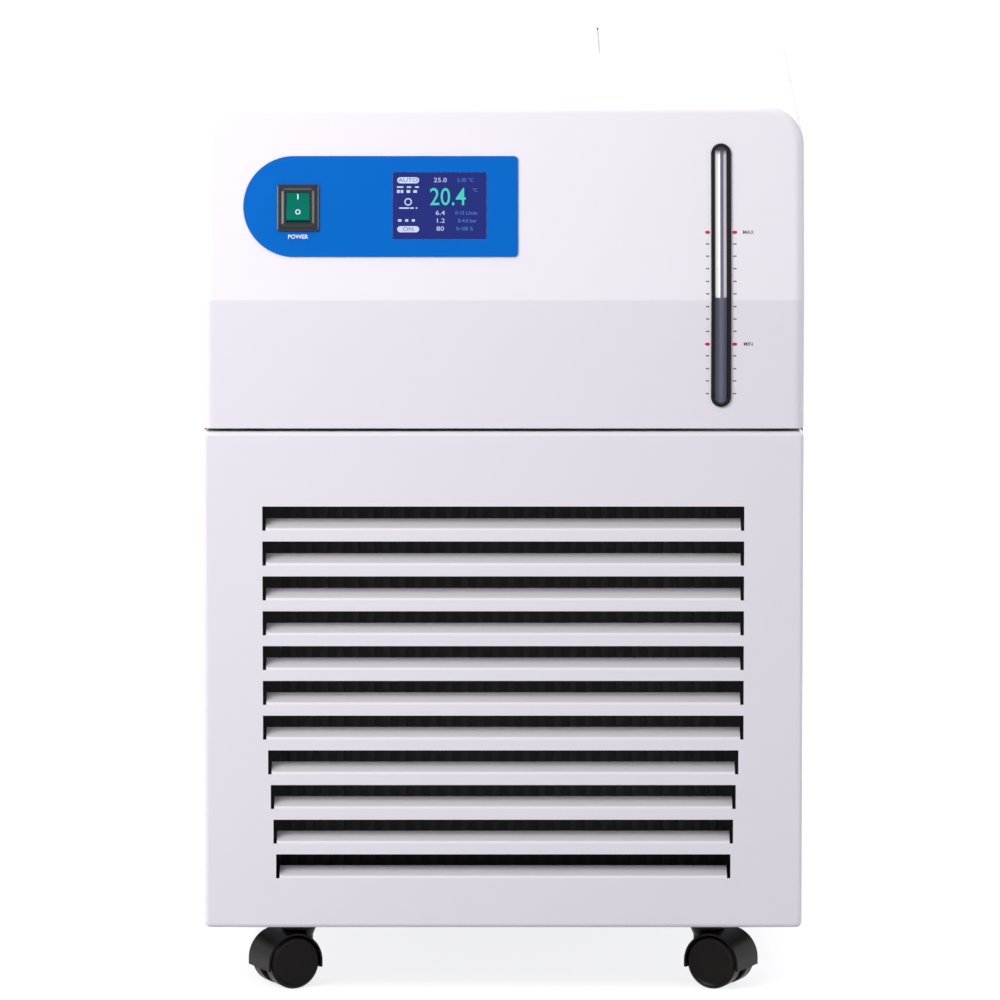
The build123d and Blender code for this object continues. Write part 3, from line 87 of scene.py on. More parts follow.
def srgb(red: int, green: int, blue: int) -> Colour:
    """Turn an 8-bit display colour into a linear one.

    Args:
        red: Red, 0 to 255.
        green: Green, 0 to 255.
        blue: Blue, 0 to 255.

    Returns:
        The linear colour.
    """
    share = np.array([red, green, blue]) / 255
    low = share / 12.92
    high = ((share + 0.055) / 1.055) ** 2.4
    return tuple(float(v) for v in np.where(share <= 0.04045, low, high))


class Shader:
    """A material under construction, with short helpers for its nodes."""

    def __init__(self, name: str) -> None:
        """Start an empty node material.

        Args:
            name: The material's name.
        """
        self.material = bpy.data.materials.new(name)
        self.material.use_nodes = True
        self.tree = self.material.node_tree
        self.nodes = self.tree.nodes
        self.surface = self.nodes["Principled BSDF"]

    def node(self, kind: str, **values: object) -> bpy.types.Node:
        """Add a node.

        Args:
            kind: The node's Blender type.
            **values: Attributes to set on it.

        Returns:
            The new node.
        """
        made = self.nodes.new(kind)
        for key, value in values.items():
            setattr(made, key, value)
        return made

    def link(self, source: bpy.types.NodeSocket, target: bpy.types.NodeSocket) -> None:
        """Join two sockets."""
        self.tree.links.new(source, target)

    def group(self, tree: bpy.types.NodeTree, **values: float) -> bpy.types.Node:
        """Place a node group and feed it object coordinates.

        Args:
            tree: The group's tree.
            **values: Values of its inputs, with spaces as underscores.

        Returns:
            The group node.
        """
        made = self.nodes.new("ShaderNodeGroup")
        made.node_tree = tree
        coordinates = self.nodes.new("ShaderNodeTexCoord")
        self.link(coordinates.outputs["Object"], made.inputs["Position"])
        for key, value in values.items():
            made.inputs[key.replace("_", " ")].default_value = value
        return made

    def set(self, **values: object) -> None:
        """Set sockets of the surface shader, with spaces as underscores."""
        for key, value in values.items():
            self.surface.inputs[key.replace("_", " ")].default_value = value


class GroupBuilder:
    """A shader node group with named inputs and outputs."""

    def __init__(
        self, name: str, inputs: dict[str, tuple[str, object]], outputs: dict[str, str]
    ) -> None:
        """Make the group's tree and its sockets.

        Args:
            name: The group's name.
            inputs: Socket kind and default of each input.
            outputs: Socket kind of each output.
        """
        self.tree = bpy.data.node_groups.new(name, "ShaderNodeTree")
        for key, (kind, default) in inputs.items():
            socket = self.tree.interface.new_socket(key, in_out="INPUT", socket_type=kind)
            if default is not None:
                socket.default_value = default
        for key, kind in outputs.items():
            self.tree.interface.new_socket(key, in_out="OUTPUT", socket_type=kind)
        self.source = self.tree.nodes.new("NodeGroupInput")
        self.sink = self.tree.nodes.new("NodeGroupOutput")

    def node(self, kind: str, **values: object) -> bpy.types.Node:
        """Add a node and set its attributes."""
        made = self.tree.nodes.new(kind)
        for key, value in values.items():
            setattr(made, key, value)
        return made

    def math(self, operation: str, *terms: object) -> bpy.types.NodeSocket:
        """Add a math node.

        Args:
            operation: Blender's name of the operation.
            *terms: Sockets or numbers to feed it.

        Returns:
            Its output socket.
        """
        made = self.node("ShaderNodeMath", operation=operation)
        for index, term in enumerate(terms):
            if isinstance(term, (int, float)):
                made.inputs[index].default_value = term
            else:
                self.tree.links.new(term, made.inputs[index])
        return made.outputs[0]

    def noise(self, scale: object, detail: float = 2.0) -> bpy.types.NodeSocket:
        """Add noise over the group's position.

        Args:
            scale: A number or a socket.
            detail: Octaves.

        Returns:
            The noise value.
        """
        made = self.node("ShaderNodeTexNoise")
        made.inputs["Detail"].default_value = detail
        self.tree.links.new(self.source.outputs["Position"], made.inputs["Vector"])
        if isinstance(scale, (int, float)):
            made.inputs["Scale"].default_value = scale
        else:
            self.tree.links.new(scale, made.inputs["Scale"])
        return made.outputs["Fac"]

    def give(self, key: str, socket: bpy.types.NodeSocket) -> None:
        """Feed an output of the group."""
        self.tree.links.new(socket, self.sink.inputs[key])


def build_grain() -> bpy.types.NodeTree:
    """Make the fine-grain group: a coarse and a fine noise, for height and for roughness.

    Returns:
        The group's tree.
    """
    made = GroupBuilder(
        "fine_grain",
        {
            "Position": ("NodeSocketVector", None),
            "Scale": ("NodeSocketFloat", 900.0),
            "Roughness": ("NodeSocketFloat", 0.4),
            "Spread": ("NodeSocketFloat", 0.1),
        },
        {"Height": "NodeSocketFloat", "Roughness": "NodeSocketFloat"},
    )
    fine = made.noise(made.source.outputs["Scale"], 3.0)
    coarse = made.noise(14.0, 2.0)
    swing = made.math("SUBTRACT", coarse, 0.5)
    swing = made.math("MULTIPLY", swing, made.source.outputs["Spread"])
    made.give("Height", fine)
    made.give("Roughness", made.math("ADD", swing, made.source.outputs["Roughness"]))
    return made.tree


def build_dust() -> bpy.types.NodeTree:
    """Make the settled-dust group: faces that look up, broken by noise, tint the colour.

    Returns:
        The group's tree.
    """
    made = GroupBuilder(
        "settled_dust",
        {
            "Position": ("NodeSocketVector", None),
            "Colour": ("NodeSocketColor", (0.8, 0.8, 0.8, 1.0)),
            "Dust": ("NodeSocketColor", (0.6, 0.58, 0.55, 1.0)),
            "Amount": ("NodeSocketFloat", 0.1),
        },
        {"Colour": "NodeSocketColor"},
    )
    geometry = made.node("ShaderNodeNewGeometry")
    split = made.node("ShaderNodeSeparateXYZ")
    made.tree.links.new(geometry.outputs["Normal"], split.inputs[0])
    up = made.math("MAXIMUM", split.outputs["Z"], 0.0)
    cloud = made.noise(9.0, 4.0)
    settled = made.math("MULTIPLY", up, cloud)
    mask = made.math("MULTIPLY", settled, made.source.outputs["Amount"])
    mix = made.node("ShaderNodeMix", data_type="RGBA")
    made.tree.links.new(mask, mix.inputs["Factor"])
    made.tree.links.new(made.source.outputs["Colour"], mix.inputs["A"])
    made.tree.links.new(made.source.outputs["Dust"], mix.inputs["B"])
    made.give("Colour", mix.outputs["Result"])
    return made.tree


@dataclass(frozen=True)
class Finish:
    """A surface finish: base colour, gloss, grain and a trace of dust."""

    name: str
    colour: Colour
    roughness: float = 0.4
    metallic: float = 0.0
    grain_scale: float = 900.0
    grain_height: float = 0.02
    grain_depth: float = 0.00005
    spread: float = 0.08
    dust: float = 0.06
    coat: float = 0.0
    ior: float = 1.5
    dust_colour: Colour = (0.6, 0.58, 0.55)

    def make(self, kit: "NodeKit") -> bpy.types.Material:
        """Build the material.

        Args:
            kit: The shared node groups.

        Returns:
            The finished material.
        """
        shader = Shader(self.name)
        grain = shader.group(
            kit.grain, Scale=self.grain_scale, Roughness=self.roughness, Spread=self.spread
        )
        dust = shader.group(kit.dust, Amount=self.dust)
        dust.inputs["Colour"].default_value = (*self.colour, 1)
        dust.inputs["Dust"].default_value = (*self.dust_colour, 1)
        bump = shader.node("ShaderNodeBump")
        bump.inputs["Strength"].default_value = self.grain_height
        bump.inputs["Distance"].default_value = self.grain_depth
        shader.link(grain.outputs["Height"], bump.inputs["Height"])
        shader.link(bump.outputs["Normal"], shader.surface.inputs["Normal"])
        shader.link(grain.outputs["Roughness"], shader.surface.inputs["Roughness"])
        shader.link(dust.outputs["Colour"], shader.surface.inputs["Base Color"])
        shader.set(Metallic=self.metallic, Coat_Weight=self.coat, IOR=self.ior)
        self.extras(shader)
        return shader.material

    def extras(self, shader: Shader) -> None:
        """Add what a plain finish does not have."""


@dataclass(frozen=True)
class Brushed(Finish):
    """Metal with fine lines drawn along one axis."""

    stretch: tuple[float, float, float] = (6.0, 1500.0, 1500.0)
    line_strength: float = 0.12
    line_depth: float = 0.0001

    def extras(self, shader: Shader) -> None:
        """Replace the grain's height by stretched noise."""
        coordinates = shader.node("ShaderNodeTexCoord")
        mapping = shader.node("ShaderNodeMapping")
        mapping.inputs["Scale"].default_value = self.stretch
        noise = shader.node("ShaderNodeTexNoise")
        noise.inputs["Scale"].default_value = 1.0
        bump = shader.node("ShaderNodeBump")
        bump.inputs["Strength"].default_value = self.line_strength
        bump.inputs["Distance"].default_value = self.line_depth
        shader.link(coordinates.outputs["Object"], mapping.inputs["Vector"])
        shader.link(mapping.outputs["Vector"], noise.inputs["Vector"])
        shader.link(noise.outputs["Fac"], bump.inputs["Height"])
        shader.link(bump.outputs["Normal"], shader.surface.inputs["Normal"])


@dataclass(frozen=True)
class Lit(Finish):
    """A finish that glows, such as a lamp lens or a lit character."""

    glow: Colour = (1.0, 1.0, 1.0)
    strength: float = 1.0

    def extras(self, shader: Shader) -> None:
        """Give the surface its own light."""
        shader.set(Emission_Color=(*self.glow, 1), Emission_Strength=self.strength)


@dataclass
class NodeKit:
    """The node groups that the finishes share."""

    grain: bpy.types.NodeTree = field(default_factory=build_grain)
    dust: bpy.types.NodeTree = field(default_factory=build_dust)


def finishes() -> dict[str, Finish]:
    """List the finish of each material slot in the record.

    Returns:
        Finishes by slot name.
    """
    made = (
        Finish(
            "shell_paint", srgb(243, 240, 244), 0.32, grain_scale=2600, grain_height=0.05, coat=0.1
        ),
        Finish(
            "galvanised_steel", srgb(142, 145, 150), 0.42, 0.8, grain_scale=60, grain_height=0.1
        ),
        Brushed("stainless_steel", srgb(176, 178, 181), 0.3, 1.0),
        Finish("zinc_steel", srgb(170, 170, 166), 0.3, 1.0, grain_scale=400),
        Finish(
            "blue_panel", srgb(0, 106, 200), 0.45,
            grain_scale=3000, grain_height=0.04, dust=0.0, ior=1.15,
        ),
        Finish("black_plastic", srgb(16, 16, 18), 0.16, grain_scale=2400, dust=0.01),
        Finish("trim_rubber", srgb(8, 8, 9), 0.4, dust=0.01, ior=1.3),
        Lit(
            "switch_green", srgb(0, 98, 84), 0.2,
            dust=0.0, ior=1.15, glow=srgb(0, 140, 118), strength=0.2,
        ),
        Lit(
            "display_glass", srgb(12, 20, 60), 0.2,
            dust=0.0, ior=1.2, glow=srgb(38, 48, 130), strength=0.7,
        ),
        Finish("circuit_board", srgb(20, 92, 48), 0.4),
        # The clear tube is painted with light: highlight and reflection bands, a top shadow and a glow,
        # set out in TubeLook.
        TubeLook("clear_tube", (0.5, 0.5, 0.52), 0.3, dust=0.0, grain_height=0.0, ior=1.3),
        Finish("copper", srgb(178, 104, 68), 0.28, 1.0, grain_scale=300),
        # The fins are painted near black: painted shade for the dark behind the louvres, not the
        # aluminium's own colour.
        Finish("fin_aluminium", srgb(14, 14, 16), 0.6, 0.3, grain_scale=500),
        Finish("machine_black", srgb(16, 16, 17), 0.4),
        Finish("pump_plastic", srgb(30, 30, 31), 0.45),
        Finish("port_brass", srgb(196, 172, 110), 0.26, 1.0, grain_scale=300),
        Finish("lever_red", srgb(182, 24, 20), 0.3, coat=0.3),
        Finish("caster_nylon", srgb(15, 9, 7), 0.34, dust=0.01, ior=1.22),
    )
    return {finish.name: finish for finish in made}


def printed(name: str, colour: Colour, roughness: float = 0.5) -> Finish:
    """Give the finish of a printed mark or of painted shade, which holds no dust."""
    return Finish(name, colour, roughness, dust=0.0)


def lit(name: str, colour: Colour, glow: Colour, strength: float = 0.8) -> Lit:
    """Give the finish of a character on the lit screen."""
    return Lit(name, colour, 0.4, dust=0.0, glow=glow, strength=strength)


def trims() -> dict[str, Finish]:
    """List the finishes of what this script draws: prints, the painted shade of the screw recesses, and
    lit characters.

    Returns:
        Finishes by short name.
    """
    made = (
        printed("ink_grey", srgb(88, 88, 98)),
        # Painted shade: the near-black colour of the screw recesses, which are flat bars, not hollows.
        printed("painted_recess_shade", srgb(20, 20, 22), 0.6),
        printed("ink_red", srgb(208, 24, 50)),
        printed("ink_white", srgb(238, 240, 242)),
        lit("lit_cyan", srgb(10, 90, 80), srgb(50, 205, 185), 0.85),
        lit("lit_white", srgb(90, 100, 130), srgb(205, 215, 245)),
        lit("lit_blue", srgb(20, 60, 110), srgb(70, 125, 215)),
    )
    return {finish.name: finish for finish in made}


def mesh_object(
    name: str, vertices: Array, faces: Sequence[Sequence[int]], smooth: bool = False
) -> bpy.types.Object:
    """Make a mesh object from arrays.

    Args:
        name: Its name.
        vertices: Points, one row each.
        faces: Corner numbers of each face.
        smooth: Whether its faces are shaded smooth.

    Returns:
        The new object, linked to the scene.
    """
    mesh = bpy.data.meshes.new(name)
    mesh.from_pydata(np.asarray(vertices, float).tolist(), [], [list(map(int, f)) for f in faces])
    mesh.polygons.foreach_set("use_smooth", np.full(len(mesh.polygons), smooth))
    mesh.update()
    made = bpy.data.objects.new(name, mesh)
    bpy.context.scene.collection.objects.link(made)
    return made


def mesh_points(mesh: bpy.types.Mesh) -> Array:
    """Read a mesh's vertices, one row each, in metres."""
    points = np.zeros(len(mesh.vertices) * 3)
    mesh.vertices.foreach_get("co", points)
    return points.reshape(-1, 3)


def paint(made: bpy.types.Object, material: bpy.types.Material) -> None:
    """Give an object one material."""
    made.data.materials.clear()
    made.data.materials.append(material)


@dataclass(frozen=True)
class FlatFace:
    """A flat face of the part: where a print's own plane lies."""

    origin: tuple[float, float, float]
    across: tuple[float, float, float]
    up: tuple[float, float, float]

    @property
    def out(self) -> Vector:
        """The direction away from the face."""
        return Vector(self.across).cross(Vector(self.up)).normalized()

    def points(self, flat: Array, lift: float) -> Array:
        """Place flat points on the face.

        Args:
            flat: Columns across and up, in metres.
            lift: Height off the face, in metres.

        Returns:
            Points in the part's frame, in metres.
        """
        flat = np.asarray(flat, float)
        base = np.array(self.origin) + lift * np.array(self.out)
        return base + flat[:, :1] * np.array(self.across) + flat[:, 1:2] * np.array(self.up)


LEANING = FlatFace((0, HOOD_FRONT, CREASE_Z), (1, 0, 0), (0, math.sin(LEAN), math.cos(LEAN)))
UPRIGHT = FlatFace((0, HOOD_FRONT, CREASE_Z), (1, 0, 0), (0, 0, 1))


class Print:
    """Flat shapes gathered for one mesh on a face."""

    def __init__(self, face: FlatFace) -> None:
        """Start with no shapes.

        Args:
            face: The face they lie on.
        """
        self.face = face
        self.flat: list[Array] = []
        self.faces: list[list[int]] = []

    def polygon(self, corners: Array) -> None:
        """Add one flat polygon, corners anticlockwise, in metres across and up."""
        start = sum(len(f) for f in self.flat)
        self.flat.append(np.asarray(corners, float))
        self.faces.append(list(range(start, start + len(corners))))

    def bar(self, x: float, y: float, width: float, height: float, rows: int = 1) -> None:
        """Add a rectangle by its centre and size, cut into rows so that it can follow a curve."""
        w, levels = width / 2, np.linspace(y - height / 2, y + height / 2, rows + 1)
        for low, high in zip(levels[:-1], levels[1:]):
            self.polygon(np.array([[x - w, low], [x + w, low], [x + w, high], [x - w, high]]))

    def pill(self, x: float, y: float, width: float, height: float, steps: int = 8) -> None:
        """Add a bar with round ends."""
        bend = height / 2
        angle = np.linspace(-np.pi / 2, np.pi / 2, steps)
        cap = np.column_stack([np.cos(angle), np.sin(angle)]) * bend
        right = cap + [x + width / 2 - bend, y]
        left = -cap + [x - width / 2 + bend, y]
        self.polygon(np.vstack([right, left]))

    def ring(
        self, x: float, y: float, outer: tuple[float, float], band: float, steps: int = 28
    ) -> None:
        """Add an elliptical ring.

        Args:
            x: Its centre, across.
            y: Its centre, up.
            outer: Its outer radii.
            band: Its band's width.
            steps: Facets round it.
        """
        angle = np.linspace(0, 2 * np.pi, steps, endpoint=False)
        way = np.column_stack([np.cos(angle), np.sin(angle)])
        far = way * np.array(outer) + [x, y]
        near = way * (np.array(outer) - band) + [x, y]
        for k in range(steps):
            n = (k + 1) % steps
            self.polygon(np.array([near[k], far[k], far[n], near[n]]))

    def text(
        self, words: str, x: float, y: float, height: float, weight: float = 0.0, width: float = 1.0
    ) -> None:
        """Add generic lettering from Blender's own font.

        Args:
            words: What it says.
            x: Its centre, across.
            y: Its centre, up.
            height: The height of its capitals, in metres.
            weight: How far the strokes grow, as a share of the height.
            width: Stretch across.
        """
        curve = bpy.data.curves.new("lettering", "FONT")
        curve.body = words
        curve.size = height / CAPITAL_SHARE
        curve.offset = weight * height
        curve.resolution_u = 3
        curve.align_x = "CENTER"
        curve.align_y = "CENTER"
        holder = bpy.data.objects.new("lettering", curve)
        bpy.context.scene.collection.objects.link(holder)
        bpy.context.view_layer.update()
        depsgraph = bpy.context.evaluated_depsgraph_get()
        mesh = bpy.data.meshes.new_from_object(holder.evaluated_get(depsgraph))
        points = mesh_points(mesh)[:, :2] * [width, 1] + [x, y]
        start = sum(len(f) for f in self.flat)
        self.flat.append(points)
        self.faces += [[start + v for v in face.vertices] for face in mesh.polygons]
        bpy.data.objects.remove(holder)
        bpy.data.curves.remove(curve)
        bpy.data.meshes.remove(mesh)

    def make(
        self, name: str, material: bpy.types.Material, body: str, lift: float
    ) -> bpy.types.Object:
        """Turn the shapes into one object.

        Args:
            name: Its name.
            material: Its material.
            body: The CAD body it rides on.
            lift: Its height off the face, in metres.

        Returns:
            The object.
        """
        vertices = self.face.points(np.concatenate(self.flat), lift)
        made = mesh_object(name, vertices, self.faces)
        turn_outwards(made, self.face.out)
        paint(made, material)
        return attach(made, body)


def drape(made: bpy.types.Object, node: str, towards: Vector, lift: float) -> None:
    """Lay a flat print down on a curved CAD face.

    Args:
        made: The print, already near the face.
        node: The CAD node it lies on.
        towards: The way it moves to reach the face.
        lift: Its height off the face, in metres.
    """
    source = bpy.data.objects[node].data
    tree = BVHTree.FromPolygons(
        [v.co for v in source.vertices], [p.vertices for p in source.polygons]
    )
    for vertex in made.data.vertices:
        hit = tree.ray_cast(vertex.co - towards * DRAPE_START, towards)[0]
        if hit is not None:
            vertex.co = hit - towards * lift
    made.data.update()


def turn_outwards(made: bpy.types.Object, out: Vector) -> None:
    """Flip the faces of a flat mesh that look away from a direction."""
    for polygon in made.data.polygons:
        if polygon.normal.dot(out) < 0:
            polygon.flip()
    made.data.update()


def fix_normals(made: bpy.types.Object) -> None:
    """Turn a closed mesh's faces outwards."""
    work = bmesh.new()
    work.from_mesh(made.data)
    bmesh.ops.recalc_face_normals(work, faces=work.faces)
    work.to_mesh(made.data)
    work.free()


def row_up(row: float) -> float:
    """Turn a photo row above the crease into metres up the leaning face."""
    return (CREASE_ROW - row) * ROW_ABOVE_CREASE


def row_down(row: float) -> float:
    """Turn a photo row below the crease into metres up from it, so a negative height."""
    return (CREASE_ROW - row) * ROW_BELOW_CREASE


def column(px: float) -> float:
    """Turn a photo column into metres across."""
    return (px - PHOTO_MIDDLE) * COLUMN_WIDTH


@dataclass(frozen=True)
class GaugeMarks:
    """Ticks and end words beside the level gauge."""

    offset: float = 0.0104
    tick: tuple[float, float] = (0.0026, 0.0009)
    mark: tuple[float, float] = (0.0038, 0.0024)
    word_offset: float = 0.0207
    word_height: float = 0.0028
    word_weight: float = 0.02
    upper_rows: tuple[float, ...] = (244.1, 256.3, 268.8, 281.5, 294.0)
    lower_rows: tuple[float, ...] = (306.7, 319.1, 331.4, 355.8, 368.7, 380.9, 393.6)
    mark_rows: tuple[float, float] = (232.5, 344.2)

    def make(self, palette: dict[str, bpy.types.Material]) -> None:
        """Draw the ticks.

        Args:
            palette: Materials by short name.
        """
        upper, red_up = Print(LEANING), Print(LEANING)
        lower, red_down = Print(UPRIGHT), Print(UPRIGHT)
        top, bottom = row_up(self.mark_rows[0]), row_down(self.mark_rows[1])
        for side in Side:
            x = GAUGE_X + side.value * self.offset
            for row in self.upper_rows:
                upper.bar(x, row_up(row), *self.tick)
            for row in self.lower_rows:
                lower.bar(x, row_down(row), *self.tick)
            red_up.pill(x, top, *self.mark)
            red_down.pill(x, bottom, *self.mark)
        upper.text("MAX", GAUGE_X + self.word_offset, top, self.word_height, self.word_weight)
        lower.text("MIN", GAUGE_X + self.word_offset, bottom, self.word_height, self.word_weight)
        for name, shapes, ink in (
            ("gauge_ticks_upper", upper, "ink_grey"),
            ("gauge_ticks_lower", lower, "ink_grey"),
            ("gauge_mark_max", red_up, "ink_red"),
            ("gauge_mark_min", red_down, "ink_red"),
        ):
            shapes.make(name, palette[ink], "chassis", PRINT_LIFT)


@dataclass(frozen=True)
class Screen:
    """What the lit screen shows: a big reading, small readings, their ranges and a few signs."""

    reading: str = "20.4"
    reading_at: tuple[float, float] = (448.0, 198.0)
    values: tuple[tuple[str, float], ...] = (
        ("25.0", 180.6), ("6.4", 213.4), ("1.2", 221.2), ("80", 229.2),
    )
    ranges: tuple[tuple[str, float, float], ...] = (
        ("5-35 \u00b0C", 465.6, 180.6), ("\u00b0C", 475.0, 190.6), ("0-15 L/min", 466.6, 213.4),
        ("0-4.0 bar", 467.6, 221.2), ("0-100 %", 465.0, 229.2),
    )
    pills: tuple[tuple[str, float], ...] = (("AUTO", 180.6), ("ON", 229.6))
    blocks: tuple[tuple[float, float, float, float], ...] = (
        (400.4, 187.4, 6.4, 1.5), (409.2, 187.4, 4.2, 1.5), (417.2, 187.4, 3.8, 1.5),
        (398.6, 191.8, 2.8, 3.0), (402.2, 191.8, 2.6, 3.0),
        (408.6, 191.8, 3.6, 2.8), (415.4, 191.8, 3.6, 2.6),
        (400.0, 220.8, 3.4, 2.4), (407.0, 220.8, 3.0, 2.4), (413.6, 220.8, 3.0, 2.4),
        (404.4, 208.4, 10.0, 1.4), (412.2, 208.4, 3.6, 1.4), (416.8, 208.4, 1.6, 1.4),
    )
    middle: float = 440.5
    left: float = 408.4
    ring_row: float = 202.2

    def make(self, palette: dict[str, bpy.types.Material]) -> None:
        """Draw the characters, just off the glass.

        Args:
            palette: Materials by short name.
        """
        px = SCREEN_PIXEL
        big, small, labels, dark = (Print(LEANING) for _ in range(4))
        x, row = self.reading_at
        big.text(self.reading, column(x), row_up(row), 17.5 * px, 0.004, 0.86)
        for words, row in self.values:
            small.text(words, column(self.middle), row_up(row), 4.4 * px, 0.0, 1.25)
        for words, row in self.pills:
            small.pill(column(self.left), row_up(row), 22 * px, 6.2 * px)
            dark.text(words, column(self.left), row_up(row), 3.8 * px, 0.0, 1.3)
        for x, row, width, height in self.blocks:
            small.bar(column(x), row_up(row), width * px, height * px)
        small.ring(column(self.left), row_up(self.ring_row), (3.8 * px, 3.8 * px), 1.2 * px)
        for words, place, row in self.ranges:
            labels.text(words, column(place), row_up(row), 3.6 * px, 0.0)
        for name, shapes, ink, lift in (
            ("screen_reading", big, "lit_cyan", 0.0001),
            ("screen_small_readings", small, "lit_white", 0.0001),
            ("screen_pill_words", dark, "ink_grey", 0.0002),
            ("screen_ranges", labels, "lit_blue", 0.0001),
        ):
            shapes.make(name, palette[ink], "chassis", PLATE_THICK + lift)


@dataclass(frozen=True)
class SwitchMarks:
    """The two signs on the rocker, and the word under the switch."""

    x: float = -0.1568
    on_row: float = 197.6
    off_row: float = 213.0
    bar_size: tuple[float, float] = (0.0010, 0.0040)
    ring_radius: float = 0.0020
    ring_band: float = 0.0007
    word: str = "POWER"
    word_row: float = 237.2
    word_height: float = 0.0031
    word_weight: float = 0.03
    face_lift: float = 0.00006

    def make(self, palette: dict[str, bpy.types.Material]) -> None:
        """Draw the signs on the rocker's own face, and the word on the plate.

        Args:
            palette: Materials by short name.
        """
        signs = Print(LEANING)
        signs.bar(self.x, row_up(self.on_row), *self.bar_size, rows=8)
        radii = (self.ring_radius, self.ring_radius)
        signs.ring(self.x, row_up(self.off_row), radii, self.ring_band)
        made = signs.make("rocker_signs", palette["ink_white"], "switch_rocker", 0.01)
        drape(made, "switch_rocker", -LEANING.out, self.face_lift)
        word = Print(LEANING)
        word.text(self.word, self.x, row_up(self.word_row), self.word_height, self.word_weight)
        word.make("switch_word", palette["ink_white"], "chassis", PLATE_THICK + PRINT_LIFT)


@dataclass(frozen=True)
class TubeLook(Finish):
    """A clear level tube with painted light: painted highlight and reflection bands across it where it
    is empty, plain slate where water stands, a painted shadow at its top end, and a painted glow over
    all of it.
    """

    level: float = 0.5446
    middle: float = GAUGE_X
    half: float = 0.0045
    top: float = 0.6545
    meniscus: float = 0.0006
    # Painted shadow at the tube's top end, over this height.
    shadow_reach: float = 0.004
    # Emission strength: a painted glow standing in for the light the tube would catch in its dark slot.
    glow: float = 0.62
    # Painted highlight and reflection bands across the tube: dark edges, a bright highlight on the
    # left, a dark slate middle and a pinkish reflection on the right.
    painted_light_stops: tuple[tuple[float, Colour], ...] = (
        (0.0, srgb(150, 150, 156)),
        (0.08, srgb(250, 250, 252)),
        (0.38, srgb(250, 250, 252)),
        (0.46, srgb(96, 96, 118)),
        (0.68, srgb(92, 94, 112)),
        (0.76, srgb(214, 198, 206)),
        (0.94, srgb(222, 206, 214)),
        (1.0, srgb(90, 80, 88)),
    )
    # Below the level the bands give way to plain slate: the water, which also stands in for the dark
    # reflection of the upright part of the tube.
    water: Colour = srgb(88, 90, 106)
    shadow: Colour = srgb(84, 72, 88)

    def extras(self, shader: Shader) -> None:
        """Paint the highlight and reflection bands by place across the tube, and the water and the
        top's painted shadow by height. The same colours also glow, as painted light.
        """
        coordinates = shader.node("ShaderNodeTexCoord")
        split = shader.node("ShaderNodeSeparateXYZ")
        shader.link(coordinates.outputs["Object"], split.inputs[0])
        across = shader.node("ShaderNodeMapRange")
        across.inputs["From Min"].default_value = self.middle - self.half
        across.inputs["From Max"].default_value = self.middle + self.half
        shader.link(split.outputs["X"], across.inputs["Value"])
        bands = shader.node("ShaderNodeValToRGB")
        ramp = bands.color_ramp
        for _ in range(len(self.painted_light_stops) - 2):
            ramp.elements.new(0.5)
        for element, (place, colour) in zip(ramp.elements, self.painted_light_stops):
            element.position = place
            element.color = (*colour, 1)
        shader.link(across.outputs["Result"], bands.inputs["Fac"])
        shade = bands.outputs["Color"]
        for start, end, colour in (
            (self.level + self.meniscus, self.level - self.meniscus, self.water),
            (self.top - self.shadow_reach, self.top, self.shadow),
        ):
            share = shader.node("ShaderNodeMapRange")
            share.inputs["From Min"].default_value = start
            share.inputs["From Max"].default_value = end
            shader.link(split.outputs["Z"], share.inputs["Value"])
            mix = shader.node("ShaderNodeMix", data_type="RGBA")
            mix.inputs["B"].default_value = (*colour, 1)
            shader.link(share.outputs["Result"], mix.inputs["Factor"])
            shader.link(shade, mix.inputs["A"])
            shade = mix.outputs["Result"]
        shader.link(shade, shader.surface.inputs["Base Color"])
        # The tube's colours also feed the emission, so the tube glows with painted light.
        shader.link(shade, shader.surface.inputs["Emission Color"])
        shader.set(Emission_Strength=self.glow)


@dataclass(frozen=True)
class ScrewRecesses:
    """A cross recess in the head of each panel screw, drawn as flat dark bars: painted shade in place
    of the hollow.
    """

    arm: tuple[float, float] = (0.0042, 0.0009)
    head_span: float = 0.012
    lift: float = 0.00005

    def heads(self) -> list[tuple[float, float, float]]:
        """Find the middle of each screw's head.

        Returns:
            X, Z and the Y of its outer face.
        """
        groups: list[list[Array]] = []
        for point in mesh_points(bpy.data.objects["panel_screws"].data):
            near = [g for g in groups if np.hypot(*(g[0] - point)[[0, 2]]) < self.head_span]
            if near:
                near[0].append(point)
            else:
                groups.append([point])
        boxes = [(np.min(g, axis=0), np.max(g, axis=0)) for g in groups]
        return [((low[0] + high[0]) / 2, (low[2] + high[2]) / 2, high[1]) for low, high in boxes]

    def make(self, palette: dict[str, bpy.types.Material]) -> None:
        """Draw the recesses as flat dark bars of painted shade.

        Args:
            palette: Materials by short name.
        """
        faces: dict[float, Print] = {}
        for x, z, y in self.heads():
            level = round(float(y), 5)
            if level not in faces:
                faces[level] = Print(FlatFace((0, level, 0), (-1, 0, 0), (0, 0, 1)))
            faces[level].bar(-x, z, *self.arm)
            faces[level].bar(-x, z, *reversed(self.arm))
        for number, shapes in enumerate(faces.values()):
            shapes.make(f"screw_recesses_{number}", palette["painted_recess_shade"], "chassis", self.lift)


